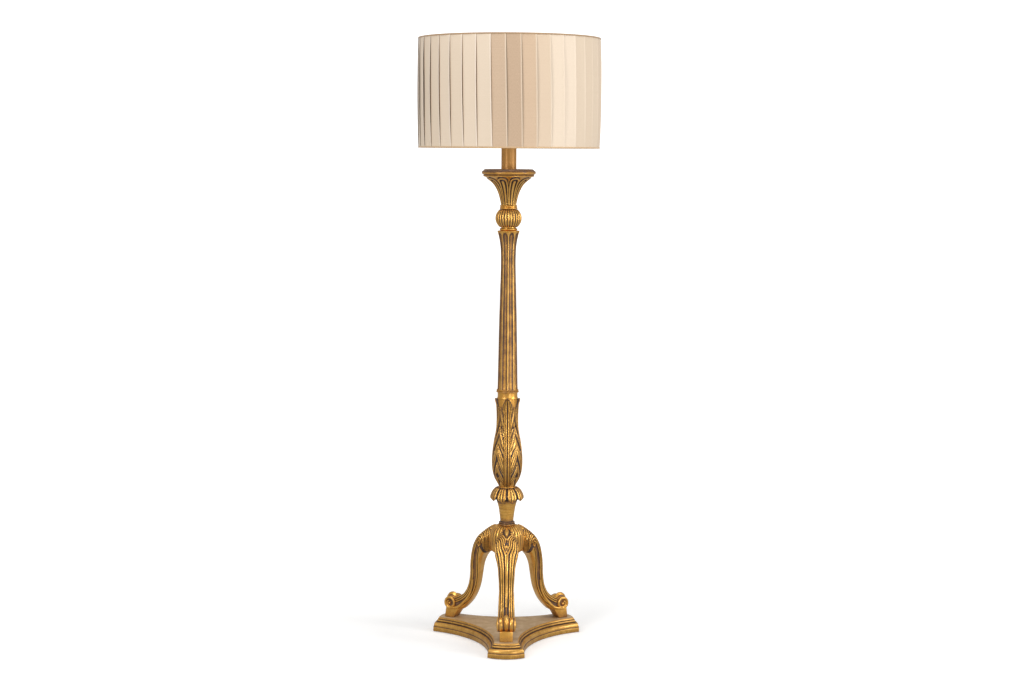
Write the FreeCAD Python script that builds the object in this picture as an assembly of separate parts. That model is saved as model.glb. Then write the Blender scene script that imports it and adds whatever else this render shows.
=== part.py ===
import FreeCAD, Part
import math
import os

from FreeCAD import Vector

# A floor lamp shaped as a tall carved candlestick: a three-cornered plinth, three scrolled
# legs, a stack of turned and carved pieces on one hollow rod, a drip pan with a candle
# tube, and a pleated drum shade. Millimetres, +Z up. The origin is on the rod's axis at
# the floor, and one leg points to -Y.

# ---- Driving dimensions -------------------------------------------------------------
OVERALL_HEIGHT = 1680.0
SHADE_RADIUS = 250.0
SHADE_HEIGHT = 300.0
LEG_ANGLES = (-90.0, 30.0, 150.0)
LEG_NAMES = ("front_leg", "right_leg", "left_leg")
FRONT = -90.0
SEAT_GAP = 0.1
BODY_GAP = 0.3
# Flat panels round a turned piece: large, small, and round a drilled peg.
WIDE_SIDES = 42
ROUND_SIDES = 36
SMALL_SIDES = 20
PEG_SIDES = 12

# Plinth: corner faces bowed outwards, sides hollowed to an arc.
PAD_THICK = 1.5
SLAB_TOP = 14.0
PLINTH_TOP = 40.0
CORNER_REACH = 228.0
CORNER_BOW = 15.5
CORNER_HALF_WIDTH = 50.5
SIDE_APOTHEM = 98.0
BOARD_MIDDLE = 140.0
PAD_RADIUS = 11.0
PAD_REACH = 202.0
# Edge mouldings as (inset, height), from the bottom up.
SLAB_EDGE = ((0.0, PAD_THICK), (0.0, SLAB_TOP))
BOARD_EDGE = (
    (1.6, SLAB_TOP),
    (3.2, 21.4),
    (11.8, 27.0),
    (10.6, 29.4),
    (10.6, 34.4),
    (17.6, PLINTH_TOP),
)

# Legs: stations from the hub to the foot. Each has the outer and the inner edge as
# (distance from the axis, height), and the width across.
LEG_STATIONS = (
    ((38.0, 320.0), (38.0, 250.0), 58.0),
    ((68.0, 296.5), (52.0, 246.0), 65.0),
    ((89.0, 277.0), (62.0, 240.0), 66.0),
    ((102.0, 252.0), (71.0, 228.0), 53.0),
    ((109.5, 218.0), (79.5, 208.0), 47.0),
    ((111.0, 178.0), (85.0, 176.0), 42.0),
    ((115.5, 148.0), (90.0, 147.0), 39.0),
    ((129.0, 119.0), (101.0, 117.0), 41.0),
    ((145.0, 106.0), (121.0, 86.0), 43.0),
    ((162.0, 99.0), (146.0, 62.0), 43.0),
    ((172.0, 96.0), (170.0, 52.0), 40.0),
)
LEG_SPANS = 14
# Half of the leg's cross-section as (share of the thickness, share of the half width):
# flat back, rounded cheek, edge reed, flute, and the flank of the middle rib.
LEG_SECTION = (
    (0.00, 0.80),
    (0.20, 1.00),
    (0.66, 1.00),
    (0.90, 0.84),
    (0.92, 0.58),
    (0.76, 0.38),
    (1.00, 0.15),
)
# Scroll across the foot: (radius, width) of its discs, its middle bead and its eyes.
SCROLL_REACH = 173.5
SCROLL_HEIGHT = 84.0
SCROLL_ROLLERS = ((19.5, 50.0), (23.5, 20.0), (6.5, 55.0))
FOOT_BLOCK_TOP = 68.0
FOOT_BLOCK_WIDTH = 31.0
# How far the block's rear and front lie from the axis, on the plinth and at its top.
FOOT_BLOCK_LOWER = (166.0, 194.0)
FOOT_BLOCK_UPPER = (148.0, 190.0)

# Hub that the legs are dowelled to.
HUB_BOTTOM = 246.0
HUB_TOP = 326.0
HUB_FLAT = 38.0
# Height and radius of the crown, from the bottom up.
HUB_PROFILE = (
    (34.0, HUB_BOTTOM),
    (48.0, 262.0),
    (48.0, 294.0),
    (45.0, 309.0),
    (HUB_FLAT, 320.0),
    (24.0, HUB_TOP),
)
NUT_WELL_RADIUS = 15.0
NUT_WELL_TOP = 258.0
DOWEL_RADIUS = 5.0
DOWEL_HEIGHT = 285.0
DOWEL_INNER = 20.0
DOWEL_OUTER = 62.0
SCREW_REACH = 180.0
SCREW_RADIUS = 2.5
SCREW_HEAD_RADIUS = 5.0
SCREW_HEAD_LOW = 4.0
SCREW_HEAD_HIGH = 7.0
SCREW_TIP = 74.0

# Hollow rod with the standard M10 thread size, its nuts, washers and outlet bush.
ROD_RADIUS = 5.0
ROD_BORE = 4.0
ROD_BOTTOM = 238.2
ROD_TOP = 1432.0
NUT_FLATS = 17.0
NUT_HEIGHT = 6.5
WASHER_RADIUS = 13.0
WASHER_THICK = 1.5
BUSH_FLATS = 14.0
BUSH_BORE = 3.5
BUSH_BOTTOM = 234.0
BUSH_LIP = 4.0
BUSH_TOP = 247.5

# Turned and carved pieces of the stem, from the hub up. Plain pieces are given as
# (radius, height), carved ones as (height, radius over the crests, and the carving).
VASE_PROFILE = (
    (23.7, HUB_TOP),
    (23.7, 336.0),
    (19.0, 337.5),
    (20.4, 355.0),
    (23.4, 376.0),
    (29.8, 399.0),
)
# Ninefold carving: petals, column reeds and capital leaves share one pitch.
CARVED_LOBES = 9
# Height, radius at the crest, gap between two petals as a share of that radius.
PETAL_LEVELS = (
    (399.0, 43.5, 0.26),
    (408.0, 46.9, 0.17),
    (419.0, 42.0, 0.12),
    (428.0, 34.7, 0.08),
    (434.0, 24.0, 0.00),
    (437.0, 24.0, 0.00),
)
# Four acanthus leaves on the baluster: height, radius over the midrib, relief of the
# leaf above the ground, half angle that the leaf spans. A plain neck ends the piece.
BALUSTER_LEAVES = 4
BALUSTER_LEVELS = (
    (437.0, 23.0, 0.4, 42.0),
    (462.0, 35.0, 2.2, 41.0),
    (480.0, 40.4, 2.4, 41.0),
    (508.0, 42.8, 2.6, 40.0),
    (535.0, 41.2, 2.6, 38.0),
    (562.0, 38.2, 2.6, 36.0),
    (598.0, 31.6, 2.6, 31.0),
    (640.0, 30.0, 2.4, 25.0),
    (681.0, 33.6, 5.8, 12.0),
    (688.0, 31.0, 3.2, 6.0),
    (689.0, 27.8, 0.0, 6.0),
    (703.0, 27.8, 0.0, 6.0),
)
# Height, radius over the reeds, flute depth as a share of that radius: a foot ring, the
# tapering shaft with its flared top, and a neck ring.
REED_HALF_ANGLE = 6.2
COLUMN_LEVELS = (
    (703.0, 31.6, 0.00),
    (711.0, 31.6, 0.00),
    (711.0, 28.9, 0.08),
    (750.0, 27.4, 0.08),
    (960.0, 23.2, 0.08),
    (1060.0, 20.9, 0.08),
    (1100.0, 21.6, 0.08),
    (1122.0, 24.0, 0.08),
    (1139.0, 27.4, 0.08),
    (1153.0, 31.0, 0.08),
    (1153.0, 24.0, 0.00),
    (1163.0, 24.0, 0.00),
)
# Knop: a gadrooned ball.
KNOP_LOW = 1163.0
KNOP_TOP = 1213.0
KNOP_RADIUS = 36.6
KNOP_END_RADIUS = 24.0
KNOP_GADROONS = 27
KNOP_GROOVE = 0.05
KNOP_SPANS = 5
# Capital: a neck ring, then a trumpet of leaves, given like the petals.
CAPITAL_LEVELS = (
    (1213.0, 25.0, 0.00),
    (1225.0, 25.0, 0.00),
    (1225.0, 21.4, 0.02),
    (1240.0, 23.8, 0.07),
    (1260.0, 29.5, 0.10),
    (1272.0, 35.2, 0.11),
    (1283.0, 42.4, 0.12),
    (1291.0, 51.5, 0.14),
    (1302.0, 67.5, 0.16),
)
PAN_FLOOR = 1320.0
PAN_PROFILE = (
    (66.5, 1302.0),
    (70.3, 1307.0),
    (74.6, 1311.0),
    (74.6, 1317.0),
    (67.0, 1323.0),
)
PAN_DISH = ((57.0, PAN_FLOOR), (60.5, 1323.5))

# Candle tube and lampholder for the E27 screw cap.
TUBE_RADIUS = 21.0
TUBE_WALL = 1.0
TUBE_TOP = 1446.0
HOLDER_BOTTOM = 1426.0
HOLDER_FLANGE_TOP = 1449.0
HOLDER_TOP = 1486.0
HOLDER_PROFILE = (
    (8.0, HOLDER_BOTTOM),
    (18.0, 1433.0),
    (18.0, TUBE_TOP),
    (24.0, TUBE_TOP),
    (24.0, HOLDER_FLANGE_TOP),
    (19.7, HOLDER_FLANGE_TOP),
    (19.7, HOLDER_TOP),
)
HOLDER_WELL_LOW = 1454.0
SCREW_SHELL_BORE = 13.5
SCREW_SHELL_WALL = 0.6
SCREW_SHELL_TOP = 1484.0
CONTACT_RADIUS = 3.0
CONTACT_LOW = 1438.0
CONTACT_TOP = 1458.6

# Bulb with an E27 cap, as (radius, height).
BULB_TIP_LOW = 1459.0
BULB_TIP_RADIUS = 4.8
BULB_CAP_PROFILE = ((8.5, 1462.0), (13.25, 1466.0), (13.25, 1487.0))
BULB_NECK_PROFILE = ((12.6, 1487.0), (16.0, 1502.0))
BULB_RADIUS = 30.0
BULB_CENTRE = 1542.0
BULB_HEAD_DEGREES = (-40.0, -14.0, 12.0, 36.0, 60.0, 80.0)

# Shade: carrier, rings, stiff lining, pleated cover and edge bindings.
CARRIER_BORE = 20.3
CARRIER_RADIUS = 25.0
CARRIER_THICK = 2.4
SPOKE_WIDTH = 6.0
WIRE_OUTER = 246.7
WIRE_SIDE = 3.0
EDGE_INSET = 1.0
RING_NUT_BORE = 19.75
RING_NUT_RADIUS = 27.0
RING_NUT_HEIGHT = 8.0
LINING_OUTER = 247.6
LINING_WALL = 0.8
COVER_INNER = 247.7
PLEATS = 39
PLEAT_EDGE_SHARE = 0.97
BINDING_WALL = 0.6
BINDING_HEIGHT = 6.0
# Share of the cover's height, radius at the pleat's free edge, rise of that edge over
# the next pleat: flat at both rings, full at mid-height.
COVER_LEVELS = (
    (0.0, 248.9, 0.5),
    (0.22, 252.6, 2.4),
    (0.5, 254.7, 3.6),
    (0.78, 252.6, 2.4),
    (1.0, 248.9, 0.5),
)

# ---- Values worked out from the driving dimensions -------------------------------------
SHADE_BOTTOM = OVERALL_HEIGHT - SHADE_HEIGHT
LOBE_PITCH = 360.0 / CARVED_LOBES
CORNER_ARC = (CORNER_HALF_WIDTH**2 + CORNER_BOW**2) / (2.0 * CORNER_BOW)
# The side arc runs through its middle at SIDE_APOTHEM and through both corner edges.
CORNER_FLAT = CORNER_REACH - CORNER_BOW
SIDE_END_APOTHEM = CORNER_HALF_WIDTH * math.sqrt(0.75) + CORNER_FLAT / 2.0
SIDE_END_REACH = CORNER_FLAT * math.sqrt(0.75) - CORNER_HALF_WIDTH / 2.0
SIDE_RISE = SIDE_END_APOTHEM - SIDE_APOTHEM
SIDE_ARC = (SIDE_END_REACH**2 + SIDE_RISE**2) / (2.0 * SIDE_RISE)
SIDE_CENTRE = SIDE_APOTHEM + SIDE_ARC
CARRIER_LOW = HOLDER_FLANGE_TOP + BODY_GAP
RING_NUT_LOW = CARRIER_LOW + CARRIER_THICK + BODY_GAP
RING_LOW = SHADE_BOTTOM + EDGE_INSET
RING_HIGH = OVERALL_HEIGHT - EDGE_INSET

ORIGIN = Vector(0.0, 0.0, 0.0)
OUTWARD = Vector(1.0, 0.0, 0.0)
ACROSS = Vector(0.0, 1.0, 0.0)
UP = Vector(0.0, 0.0, 1.0)
FLATNESS = 1e-5


# ---- Shared operations ---------------------------------------------------------------
def polar(radius, angle, z=0.0):
    """A point at a distance and direction from the lamp's axis."""
    turn = math.radians(angle)
    return Vector(radius * math.cos(turn), radius * math.sin(turn), z)


def turned_to(solid, angle):
    """A copy of a solid, turned about the lamp's axis."""
    copy = solid.copy()
    copy.rotate(ORIGIN, UP, angle)
    return copy


def rod(radius, low, high):
    """Cylinder on the axis between two heights."""
    return Part.makeCylinder(radius, high - low, Vector(0.0, 0.0, low), UP)


def rod_bored(solid):
    """The piece with the clearance hole that the lamp rod runs through."""
    box = solid.BoundBox
    return solid.cut(rod(ROD_RADIUS + SEAT_GAP, box.ZMin - 1.0, box.ZMax + 1.0))


def flat_face(corners):
    """Plane face through its corners."""
    return Part.Face(Part.makePolygon(list(corners) + [corners[0]]))


def panels(lower, upper):
    """Flat panels between two rings of corners; a twisted panel is split in two."""
    faces = []
    for k, first in enumerate(lower):
        follow = (k + 1) % len(lower)
        second, third, fourth = lower[follow], upper[follow], upper[k]
        normal = (second - first).cross(fourth - first).normalize()
        if abs(normal.dot(third - first)) < FLATNESS:
            faces.append(flat_face((first, second, third, fourth)))
        else:
            faces.append(flat_face((first, second, third)))
            faces.append(flat_face((first, third, fourth)))
    return faces


def faceted(rings):
    """Solid with flat panels through closed rings of corners, one ring per station."""
    faces = [flat_face(rings[0]), flat_face(rings[-1])]
    for lower, upper in zip(rings, rings[1:]):
        faces.extend(panels(lower, upper))
    shell = Part.makeShell(faces)
    shell.sewShape()
    solid = Part.makeSolid(shell)
    if solid.Volume < 0.0:
        solid.reverse()
    return solid


def even_ring(radius, sides, z):
    """Corners of an even polygon round the axis, one of them at the front."""
    return [polar(radius, FRONT + k * 360.0 / sides, z) for k in range(sides)]


def turned(profile, sides):
    """Turned piece with narrow flat panels, from (radius, height) pairs."""
    return faceted([even_ring(radius, sides, z) for radius, z in profile])


def band(inner, outer, sides, low, high):
    """Ring with narrow flat panels between two heights."""
    hole = turned([(inner, low), (inner, high)], sides)
    return turned([(outer, low), (outer, high)], sides).cut(hole)


def lobed_ring(crest, gap, z):
    """Nine lobes with a gap at the front; the gap's depth is a share of the crest."""
    corners = []
    shoulder = crest * (1.0 - 0.18 * gap)
    for lobe in range(CARVED_LOBES):
        start = FRONT + lobe * LOBE_PITCH
        corners.append(polar(crest * (1.0 - gap), start, z))
        corners.append(polar(shoulder, start + 0.2 * LOBE_PITCH, z))
        corners.append(polar(crest, start + 0.5 * LOBE_PITCH, z))
        corners.append(polar(shoulder, start + 0.8 * LOBE_PITCH, z))
    return corners


def lobed(levels):
    """Carved piece of nine lobes from (height, crest radius, gap) levels."""
    return rod_bored(faceted([lobed_ring(crest, gap, z) for z, crest, gap in levels]))


# ---- Plinth --------------------------------------------------------------------------
def edge_turning(edge, arc, way, over):
    """Round solid whose rim is a moulding's edge, seen from the centre of one plinth arc."""
    rim = [(arc + way * inset, z) for inset, z in edge]
    low = edge[0][1] - over
    high = edge[-1][1] + over
    outline = [(0.0, low), (rim[0][0], low)] + rim + [(rim[-1][0], high), (0.0, high)]
    corners = [Vector(x, 0.0, z) for x, z in dict.fromkeys(outline)]
    return flat_face(corners).revolve(ORIGIN, UP, 360.0)


def plinth_board(edge):
    """Three-cornered board with one moulded edge all round.

    Every face is turned about its own arc's centre, so the mouldings mitre by themselves.
    """
    corner_face = edge_turning(edge, CORNER_ARC, -1.0, 0.0)
    side_hollow = edge_turning(edge, SIDE_ARC, 1.0, 1.0)
    board = turned([(BOARD_MIDDLE, edge[0][1]), (BOARD_MIDDLE, edge[-1][1])], SMALL_SIDES)
    for angle in LEG_ANGLES:
        board = board.fuse(corner_face.translated(polar(CORNER_REACH - CORNER_ARC, angle)))
    for angle in LEG_ANGLES:
        board = board.cut(side_hollow.translated(polar(SIDE_CENTRE, angle + 180.0)))
    return board.removeSplitter()


def peg(profile, angle):
    """Small turned piece that stands on the screw circle under one leg."""
    return turned(profile, PEG_SIDES).translated(polar(SCREW_REACH, angle))


def screw_profile(grow):
    """Pan head and shank of a foot screw, grown all round by a set amount."""
    head = SCREW_HEAD_RADIUS + grow
    shank = SCREW_RADIUS + grow
    return [
        (head, SCREW_HEAD_LOW - grow),
        (head, SCREW_HEAD_HIGH),
        (shank, SCREW_HEAD_HIGH),
        (shank, SCREW_TIP + grow),
    ]


def foot_screws():
    """Wood screws, up through both boards into the foot blocks."""
    return [peg(screw_profile(0.0), angle) for angle in LEG_ANGLES]


def plinth_slab():
    """Lower board, recessed from below for the three screw heads."""
    slab = plinth_board(SLAB_EDGE)
    recess = SCREW_HEAD_RADIUS + SEAT_GAP
    for angle in LEG_ANGLES:
        slab = slab.cut(peg([(recess, 0.0), (recess, SCREW_HEAD_HIGH)], angle))
        slab = slab.cut(peg(screw_profile(SEAT_GAP), angle))
    return slab


def plinth_moulded_board():
    """Upper board: ovolo, quirk and nosing under the flat top."""
    board = plinth_board(BOARD_EDGE)
    for angle in LEG_ANGLES:
        board = board.cut(peg(screw_profile(SEAT_GAP), angle))
    return board


def felt_pads():
    """One felt disc under each corner."""
    pad = turned([(PAD_RADIUS, 0.0), (PAD_RADIUS, PAD_THICK)], SMALL_SIDES)
    return [pad.translated(polar(PAD_REACH, angle)) for angle in LEG_ANGLES]


# ---- Legs and hub ----------------------------------------------------------------------
def smooth_curve(points):
    """Smooth curve through (x, z) points, its ends at 0 and 1 and the points evenly between."""
    curve = Part.BSplineCurve()
    places = [k / (len(points) - 1.0) for k in range(len(points))]
    curve.interpolate(Points=[Vector(x, 0.0, z) for x, z in points], Parameters=places)
    return curve


def leg_blank():
    """Swelling, reeded leg from the hub's flat down to the foot, lying along +X."""
    outer = smooth_curve([station[0] for station in LEG_STATIONS])
    inner = smooth_curve([station[1] for station in LEG_STATIONS])
    width = smooth_curve([(10.0 * k, station[2]) for k, station in enumerate(LEG_STATIONS)])
    section = list(LEG_SECTION)
    section += [(depth, -side) for depth, side in reversed(LEG_SECTION)]
    rings = []
    for span in range(LEG_SPANS + 1):
        share = span / LEG_SPANS
        near = inner.value(share)
        through = outer.value(share) - near
        reach = ACROSS * (width.value(share).z / 2.0)
        rings.append([near + through * depth + reach * side for depth, side in section])
    return faceted(rings)


def scroll_roller(radius, width):
    """Disc across the foot, on the scroll's centre."""
    corners = []
    for k in range(SMALL_SIDES):
        turn = 2.0 * math.pi * k / SMALL_SIDES
        x = SCROLL_REACH + radius * math.cos(turn)
        z = SCROLL_HEIGHT + radius * math.sin(turn)
        corners.append(Vector(x, -width / 2.0, z))
    return flat_face(corners).extrude(ACROSS * width)


def foot_block():
    """Block under the scroll: its rear face slopes up into the underside of the leg."""
    side = FOOT_BLOCK_WIDTH / 2.0
    rings = []
    for z, (rear, front) in ((PLINTH_TOP, FOOT_BLOCK_LOWER), (FOOT_BLOCK_TOP, FOOT_BLOCK_UPPER)):
        corners = ((rear, -side), (front, -side), (front, side), (rear, side))
        rings.append([Vector(x, y, z) for x, y in corners])
    return faceted(rings)


def dowel_pin(grow):
    """Pin along +X between the hub and a leg, grown all round by a set amount."""
    corners = []
    for k in range(PEG_SIDES):
        turn = 2.0 * math.pi * k / PEG_SIDES
        y = (DOWEL_RADIUS + grow) * math.cos(turn)
        z = DOWEL_HEIGHT + (DOWEL_RADIUS + grow) * math.sin(turn)
        corners.append(Vector(DOWEL_INNER - grow, y, z))
    return flat_face(corners).extrude(OUTWARD * (DOWEL_OUTER - DOWEL_INNER + 2.0 * grow))


def leg_dowels():
    """Three beech dowels, one for each leg."""
    return [turned_to(dowel_pin(0.0), angle) for angle in LEG_ANGLES]


def carved_leg():
    """One leg along +X with its scrolled foot, bored for its dowel and its screw."""
    rollers = [scroll_roller(radius, width) for radius, width in SCROLL_ROLLERS]
    leg = leg_blank().fuse(rollers + [foot_block()])
    leg = leg.cut([dowel_pin(SEAT_GAP), peg(screw_profile(SEAT_GAP), 0.0)])
    return leg.removeSplitter()


def leg_hub():
    """Round crown with three flats for the legs and a well for the rod's nut."""
    hub = turned(HUB_PROFILE, WIDE_SIDES)
    flat_cut = Part.makeBox(40.0, 120.0, 120.0, Vector(HUB_FLAT, -60.0, HUB_BOTTOM - 10.0))
    for angle in LEG_ANGLES:
        hub = hub.cut([turned_to(flat_cut, angle), turned_to(dowel_pin(SEAT_GAP), angle)])
    well = turned([(NUT_WELL_RADIUS, HUB_BOTTOM - 1.0), (NUT_WELL_RADIUS, NUT_WELL_TOP)], SMALL_SIDES)
    return rod_bored(hub.cut(well))


# ---- Rod and its fittings ----------------------------------------------------------------
def lamp_rod():
    """Hollow rod that clamps the whole stem together."""
    return rod(ROD_RADIUS, ROD_BOTTOM, ROD_TOP).cut(rod(ROD_BORE, ROD_BOTTOM, ROD_TOP))


def hexagon(flats, low, height):
    """Hexagonal blank by its size across flats."""
    return flat_face(even_ring(flats / math.sqrt(3.0), 6, low)).extrude(UP * height)


def rod_nuts():
    """One nut in the hub's well and one on the drip pan's floor."""
    lows = (NUT_WELL_TOP - WASHER_THICK - NUT_HEIGHT, PAN_FLOOR + WASHER_THICK)
    return [rod_bored(hexagon(NUT_FLATS, low, NUT_HEIGHT)) for low in lows]


def rod_washers():
    """A washer behind each nut."""
    bore = ROD_RADIUS + 2.0 * SEAT_GAP
    lows = (NUT_WELL_TOP - WASHER_THICK, PAN_FLOOR)
    return [band(bore, WASHER_RADIUS, SMALL_SIDES, low, low + WASHER_THICK) for low in lows]


def cord_outlet_bush():
    """Insulating bush over the rod's lower end; its lip keeps a cord off the metal."""
    bush = hexagon(BUSH_FLATS, BUSH_BOTTOM, BUSH_TOP - BUSH_BOTTOM)
    bush = bush.cut(rod(ROD_RADIUS + SEAT_GAP, BUSH_BOTTOM + BUSH_LIP, BUSH_TOP + 1.0))
    return bush.cut(rod(BUSH_BORE, BUSH_BOTTOM - 1.0, BUSH_BOTTOM + BUSH_LIP + 1.0))


# ---- Stem --------------------------------------------------------------------------------
def leaf_ring(rib, relief, half_angle, z):
    """Round ground with four raised leaves, each with a midrib and two side lobes."""
    ground = rib - relief
    quarter = 360.0 / BALUSTER_LEAVES
    half = (
        (-quarter / 2.0, 0.0),
        (-(quarter / 2.0 + half_angle) / 2.0, 0.0),
        (-half_angle - 1.0, 0.0),
        (-half_angle, 0.85),
        (-0.35 * half_angle, 0.45),
    )
    mirrored = [(-turn, height) for turn, height in reversed(half[1:])]
    corners = []
    for leaf in range(BALUSTER_LEAVES):
        middle = FRONT + leaf * quarter
        for turn, height in [*half, (0.0, 1.0), *mirrored]:
            corners.append(polar(ground + height * relief, middle + turn, z))
    return corners


def acanthus_baluster():
    """Swelling vase wrapped in four acanthus leaves, with a plain neck above them."""
    rings = [leaf_ring(rib, relief, half, z) for z, rib, relief, half in BALUSTER_LEVELS]
    return rod_bored(faceted(rings))


def reeded_ring(crest, flute, z):
    """Nine narrow reeds, one at the front, with wide hollow flutes between them."""
    floor = crest * (1.0 - flute)
    bank = crest * (1.0 - 0.7 * flute)
    corners = []
    for reed in range(CARVED_LOBES):
        middle = FRONT + reed * LOBE_PITCH
        corners.append(polar(crest, middle - 0.5 * REED_HALF_ANGLE, z))
        corners.append(polar(crest, middle + 0.5 * REED_HALF_ANGLE, z))
        corners.append(polar(bank, middle + REED_HALF_ANGLE, z))
        corners.append(polar(floor, middle + LOBE_PITCH / 2.0, z))
        corners.append(polar(bank, middle + LOBE_PITCH - REED_HALF_ANGLE, z))
    return corners


def reeded_column():
    """Long tapering column between a foot ring and a neck ring."""
    return rod_bored(faceted([reeded_ring(crest, flute, z) for z, crest, flute in COLUMN_LEVELS]))


def gadrooned_knop():
    """Ball cut into twenty-seven upright gadroons."""
    half_height = (KNOP_TOP - KNOP_LOW) / 2.0
    middle = (KNOP_TOP + KNOP_LOW) / 2.0
    # Half axis of the ellipse that has KNOP_END_RADIUS at both ends.
    half_axis = half_height / math.sqrt(1.0 - (KNOP_END_RADIUS / KNOP_RADIUS) ** 2)
    end_rise = math.asin(half_height / half_axis)
    half_pitch = 180.0 / KNOP_GADROONS
    rings = []
    for level in range(KNOP_SPANS + 1):
        rise = end_rise * (2.0 * level / KNOP_SPANS - 1.0)
        crest = KNOP_RADIUS * math.cos(rise)
        z = middle + half_axis * math.sin(rise)
        ring = []
        for k in range(2 * KNOP_GADROONS):
            radius = crest if k % 2 else crest * (1.0 - KNOP_GROOVE)
            ring.append(polar(radius, FRONT + k * half_pitch, z))
        rings.append(ring)
    return rod_bored(faceted(rings))


def drip_pan():
    """Round pan with a moulded edge and a shallow dished floor."""
    return rod_bored(turned(PAN_PROFILE, WIDE_SIDES).cut(turned(PAN_DISH, WIDE_SIDES)))


# ---- Candle tube, lampholder and bulb ------------------------------------------------------
def candle_tube():
    """Thin sleeve that stands for the candle and hides the lampholder."""
    return band(TUBE_RADIUS - TUBE_WALL, TUBE_RADIUS, WIDE_SIDES, PAN_FLOOR, TUBE_TOP)


def lampholder_body():
    """Screwed on the rod; its flange closes the candle tube and carries the shade."""
    body = turned(HOLDER_PROFILE, SMALL_SIDES)
    well = SCREW_SHELL_BORE + SCREW_SHELL_WALL
    return body.cut([
        turned([(well, HOLDER_WELL_LOW), (well, HOLDER_TOP + 1.0)], SMALL_SIDES),
        rod(ROD_RADIUS + SEAT_GAP, HOLDER_BOTTOM - 1.0, ROD_TOP + 0.5),
        turned([(CONTACT_RADIUS, ROD_TOP), (CONTACT_RADIUS, HOLDER_WELL_LOW + 1.0)], PEG_SIDES),
    ])


def lampholder_contacts():
    """Screw shell that takes the bulb's cap, and the centre contact under it."""
    outer = SCREW_SHELL_BORE + SCREW_SHELL_WALL
    shell = band(SCREW_SHELL_BORE, outer, SMALL_SIDES, HOLDER_WELL_LOW, SCREW_SHELL_TOP)
    centre = turned([(CONTACT_RADIUS, CONTACT_LOW), (CONTACT_RADIUS, CONTACT_TOP)], PEG_SIDES)
    return [shell, centre]


def bulb_glass():
    """Pear-shaped bulb: round head and a neck that runs down into the cap."""
    profile = list(BULB_NECK_PROFILE)
    for rise in BULB_HEAD_DEGREES:
        turn = math.radians(rise)
        profile.append((BULB_RADIUS * math.cos(turn), BULB_CENTRE + BULB_RADIUS * math.sin(turn)))
    return turned(profile, SMALL_SIDES)


def bulb_cap():
    """Screw cap that tapers to the tip's insulator."""
    return turned(BULB_CAP_PROFILE, SMALL_SIDES)


def bulb_contact():
    """Centre contact at the cap's tip."""
    low, high = BULB_TIP_LOW, BULB_CAP_PROFILE[0][1]
    return turned([(BULB_TIP_RADIUS, low), (BULB_TIP_RADIUS, high)], PEG_SIDES)


# ---- Shade -----------------------------------------------------------------------------------
def shade_ring_nut():
    """Ring that clamps the shade's carrier on the lampholder."""
    high = RING_NUT_LOW + RING_NUT_HEIGHT
    blank = turned([(RING_NUT_RADIUS, RING_NUT_LOW), (RING_NUT_RADIUS, high)], SMALL_SIDES)
    return blank.cut(rod(RING_NUT_BORE, RING_NUT_LOW - 1.0, high + 1.0))


def drum_ring(outer, wall, low, high):
    """Ring with one flat to each pleat."""
    return band(outer - wall, outer, PLEATS, low, high)


def shade_carrier():
    """Hub ring on three falling spokes, welded to the shade's lower ring."""
    hub_ring = band(CARRIER_BORE, CARRIER_RADIUS, SMALL_SIDES, CARRIER_LOW, CARRIER_LOW + CARRIER_THICK)
    rim = drum_ring(WIRE_OUTER, WIRE_SIDE, RING_LOW, RING_LOW + WIRE_SIDE)
    half = SPOKE_WIDTH / 2.0
    ends = []
    for x, z in ((CARRIER_RADIUS - 2.0, CARRIER_LOW), (WIRE_OUTER - WIRE_SIDE + 1.0, RING_LOW)):
        top = z + CARRIER_THICK
        ends.append([Vector(x, -half, z), Vector(x, half, z), Vector(x, half, top), Vector(x, -half, top)])
    spoke = faceted(ends)
    return hub_ring.fuse([rim] + [turned_to(spoke, angle) for angle in LEG_ANGLES])


def shade_top_ring():
    """Steel ring inside the shade's upper edge."""
    return drum_ring(WIRE_OUTER, WIRE_SIDE, RING_HIGH - WIRE_SIDE, RING_HIGH)


def shade_lining():
    """Stiff drum behind the pleats."""
    return drum_ring(LINING_OUTER, LINING_WALL, RING_LOW, RING_HIGH)


def pleat_ring(share, edge_radius, rise):
    """Knife pleats: each climbs to a free edge that stands over the next pleat."""
    z = RING_LOW + share * (RING_HIGH - RING_LOW)
    pitch = 360.0 / PLEATS
    corners = []
    for pleat in range(PLEATS):
        start = FRONT + pleat * pitch
        corners.append(polar(edge_radius - rise, start, z))
        corners.append(polar(edge_radius, start + PLEAT_EDGE_SHARE * pitch, z))
    return corners


def shade_cover():
    """Pleated cloth, flat at both rings and billowing at mid-height."""
    cloth = faceted([pleat_ring(share, radius, rise) for share, radius, rise in COVER_LEVELS])
    inside = turned([(COVER_INNER, SHADE_BOTTOM), (COVER_INNER, OVERALL_HEIGHT)], PLEATS)
    return cloth.cut(inside)


def shade_binding(low):
    """Band of tape over one edge of the cover."""
    return drum_ring(SHADE_RADIUS, BINDING_WALL, low, low + BINDING_HEIGHT)


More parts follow.
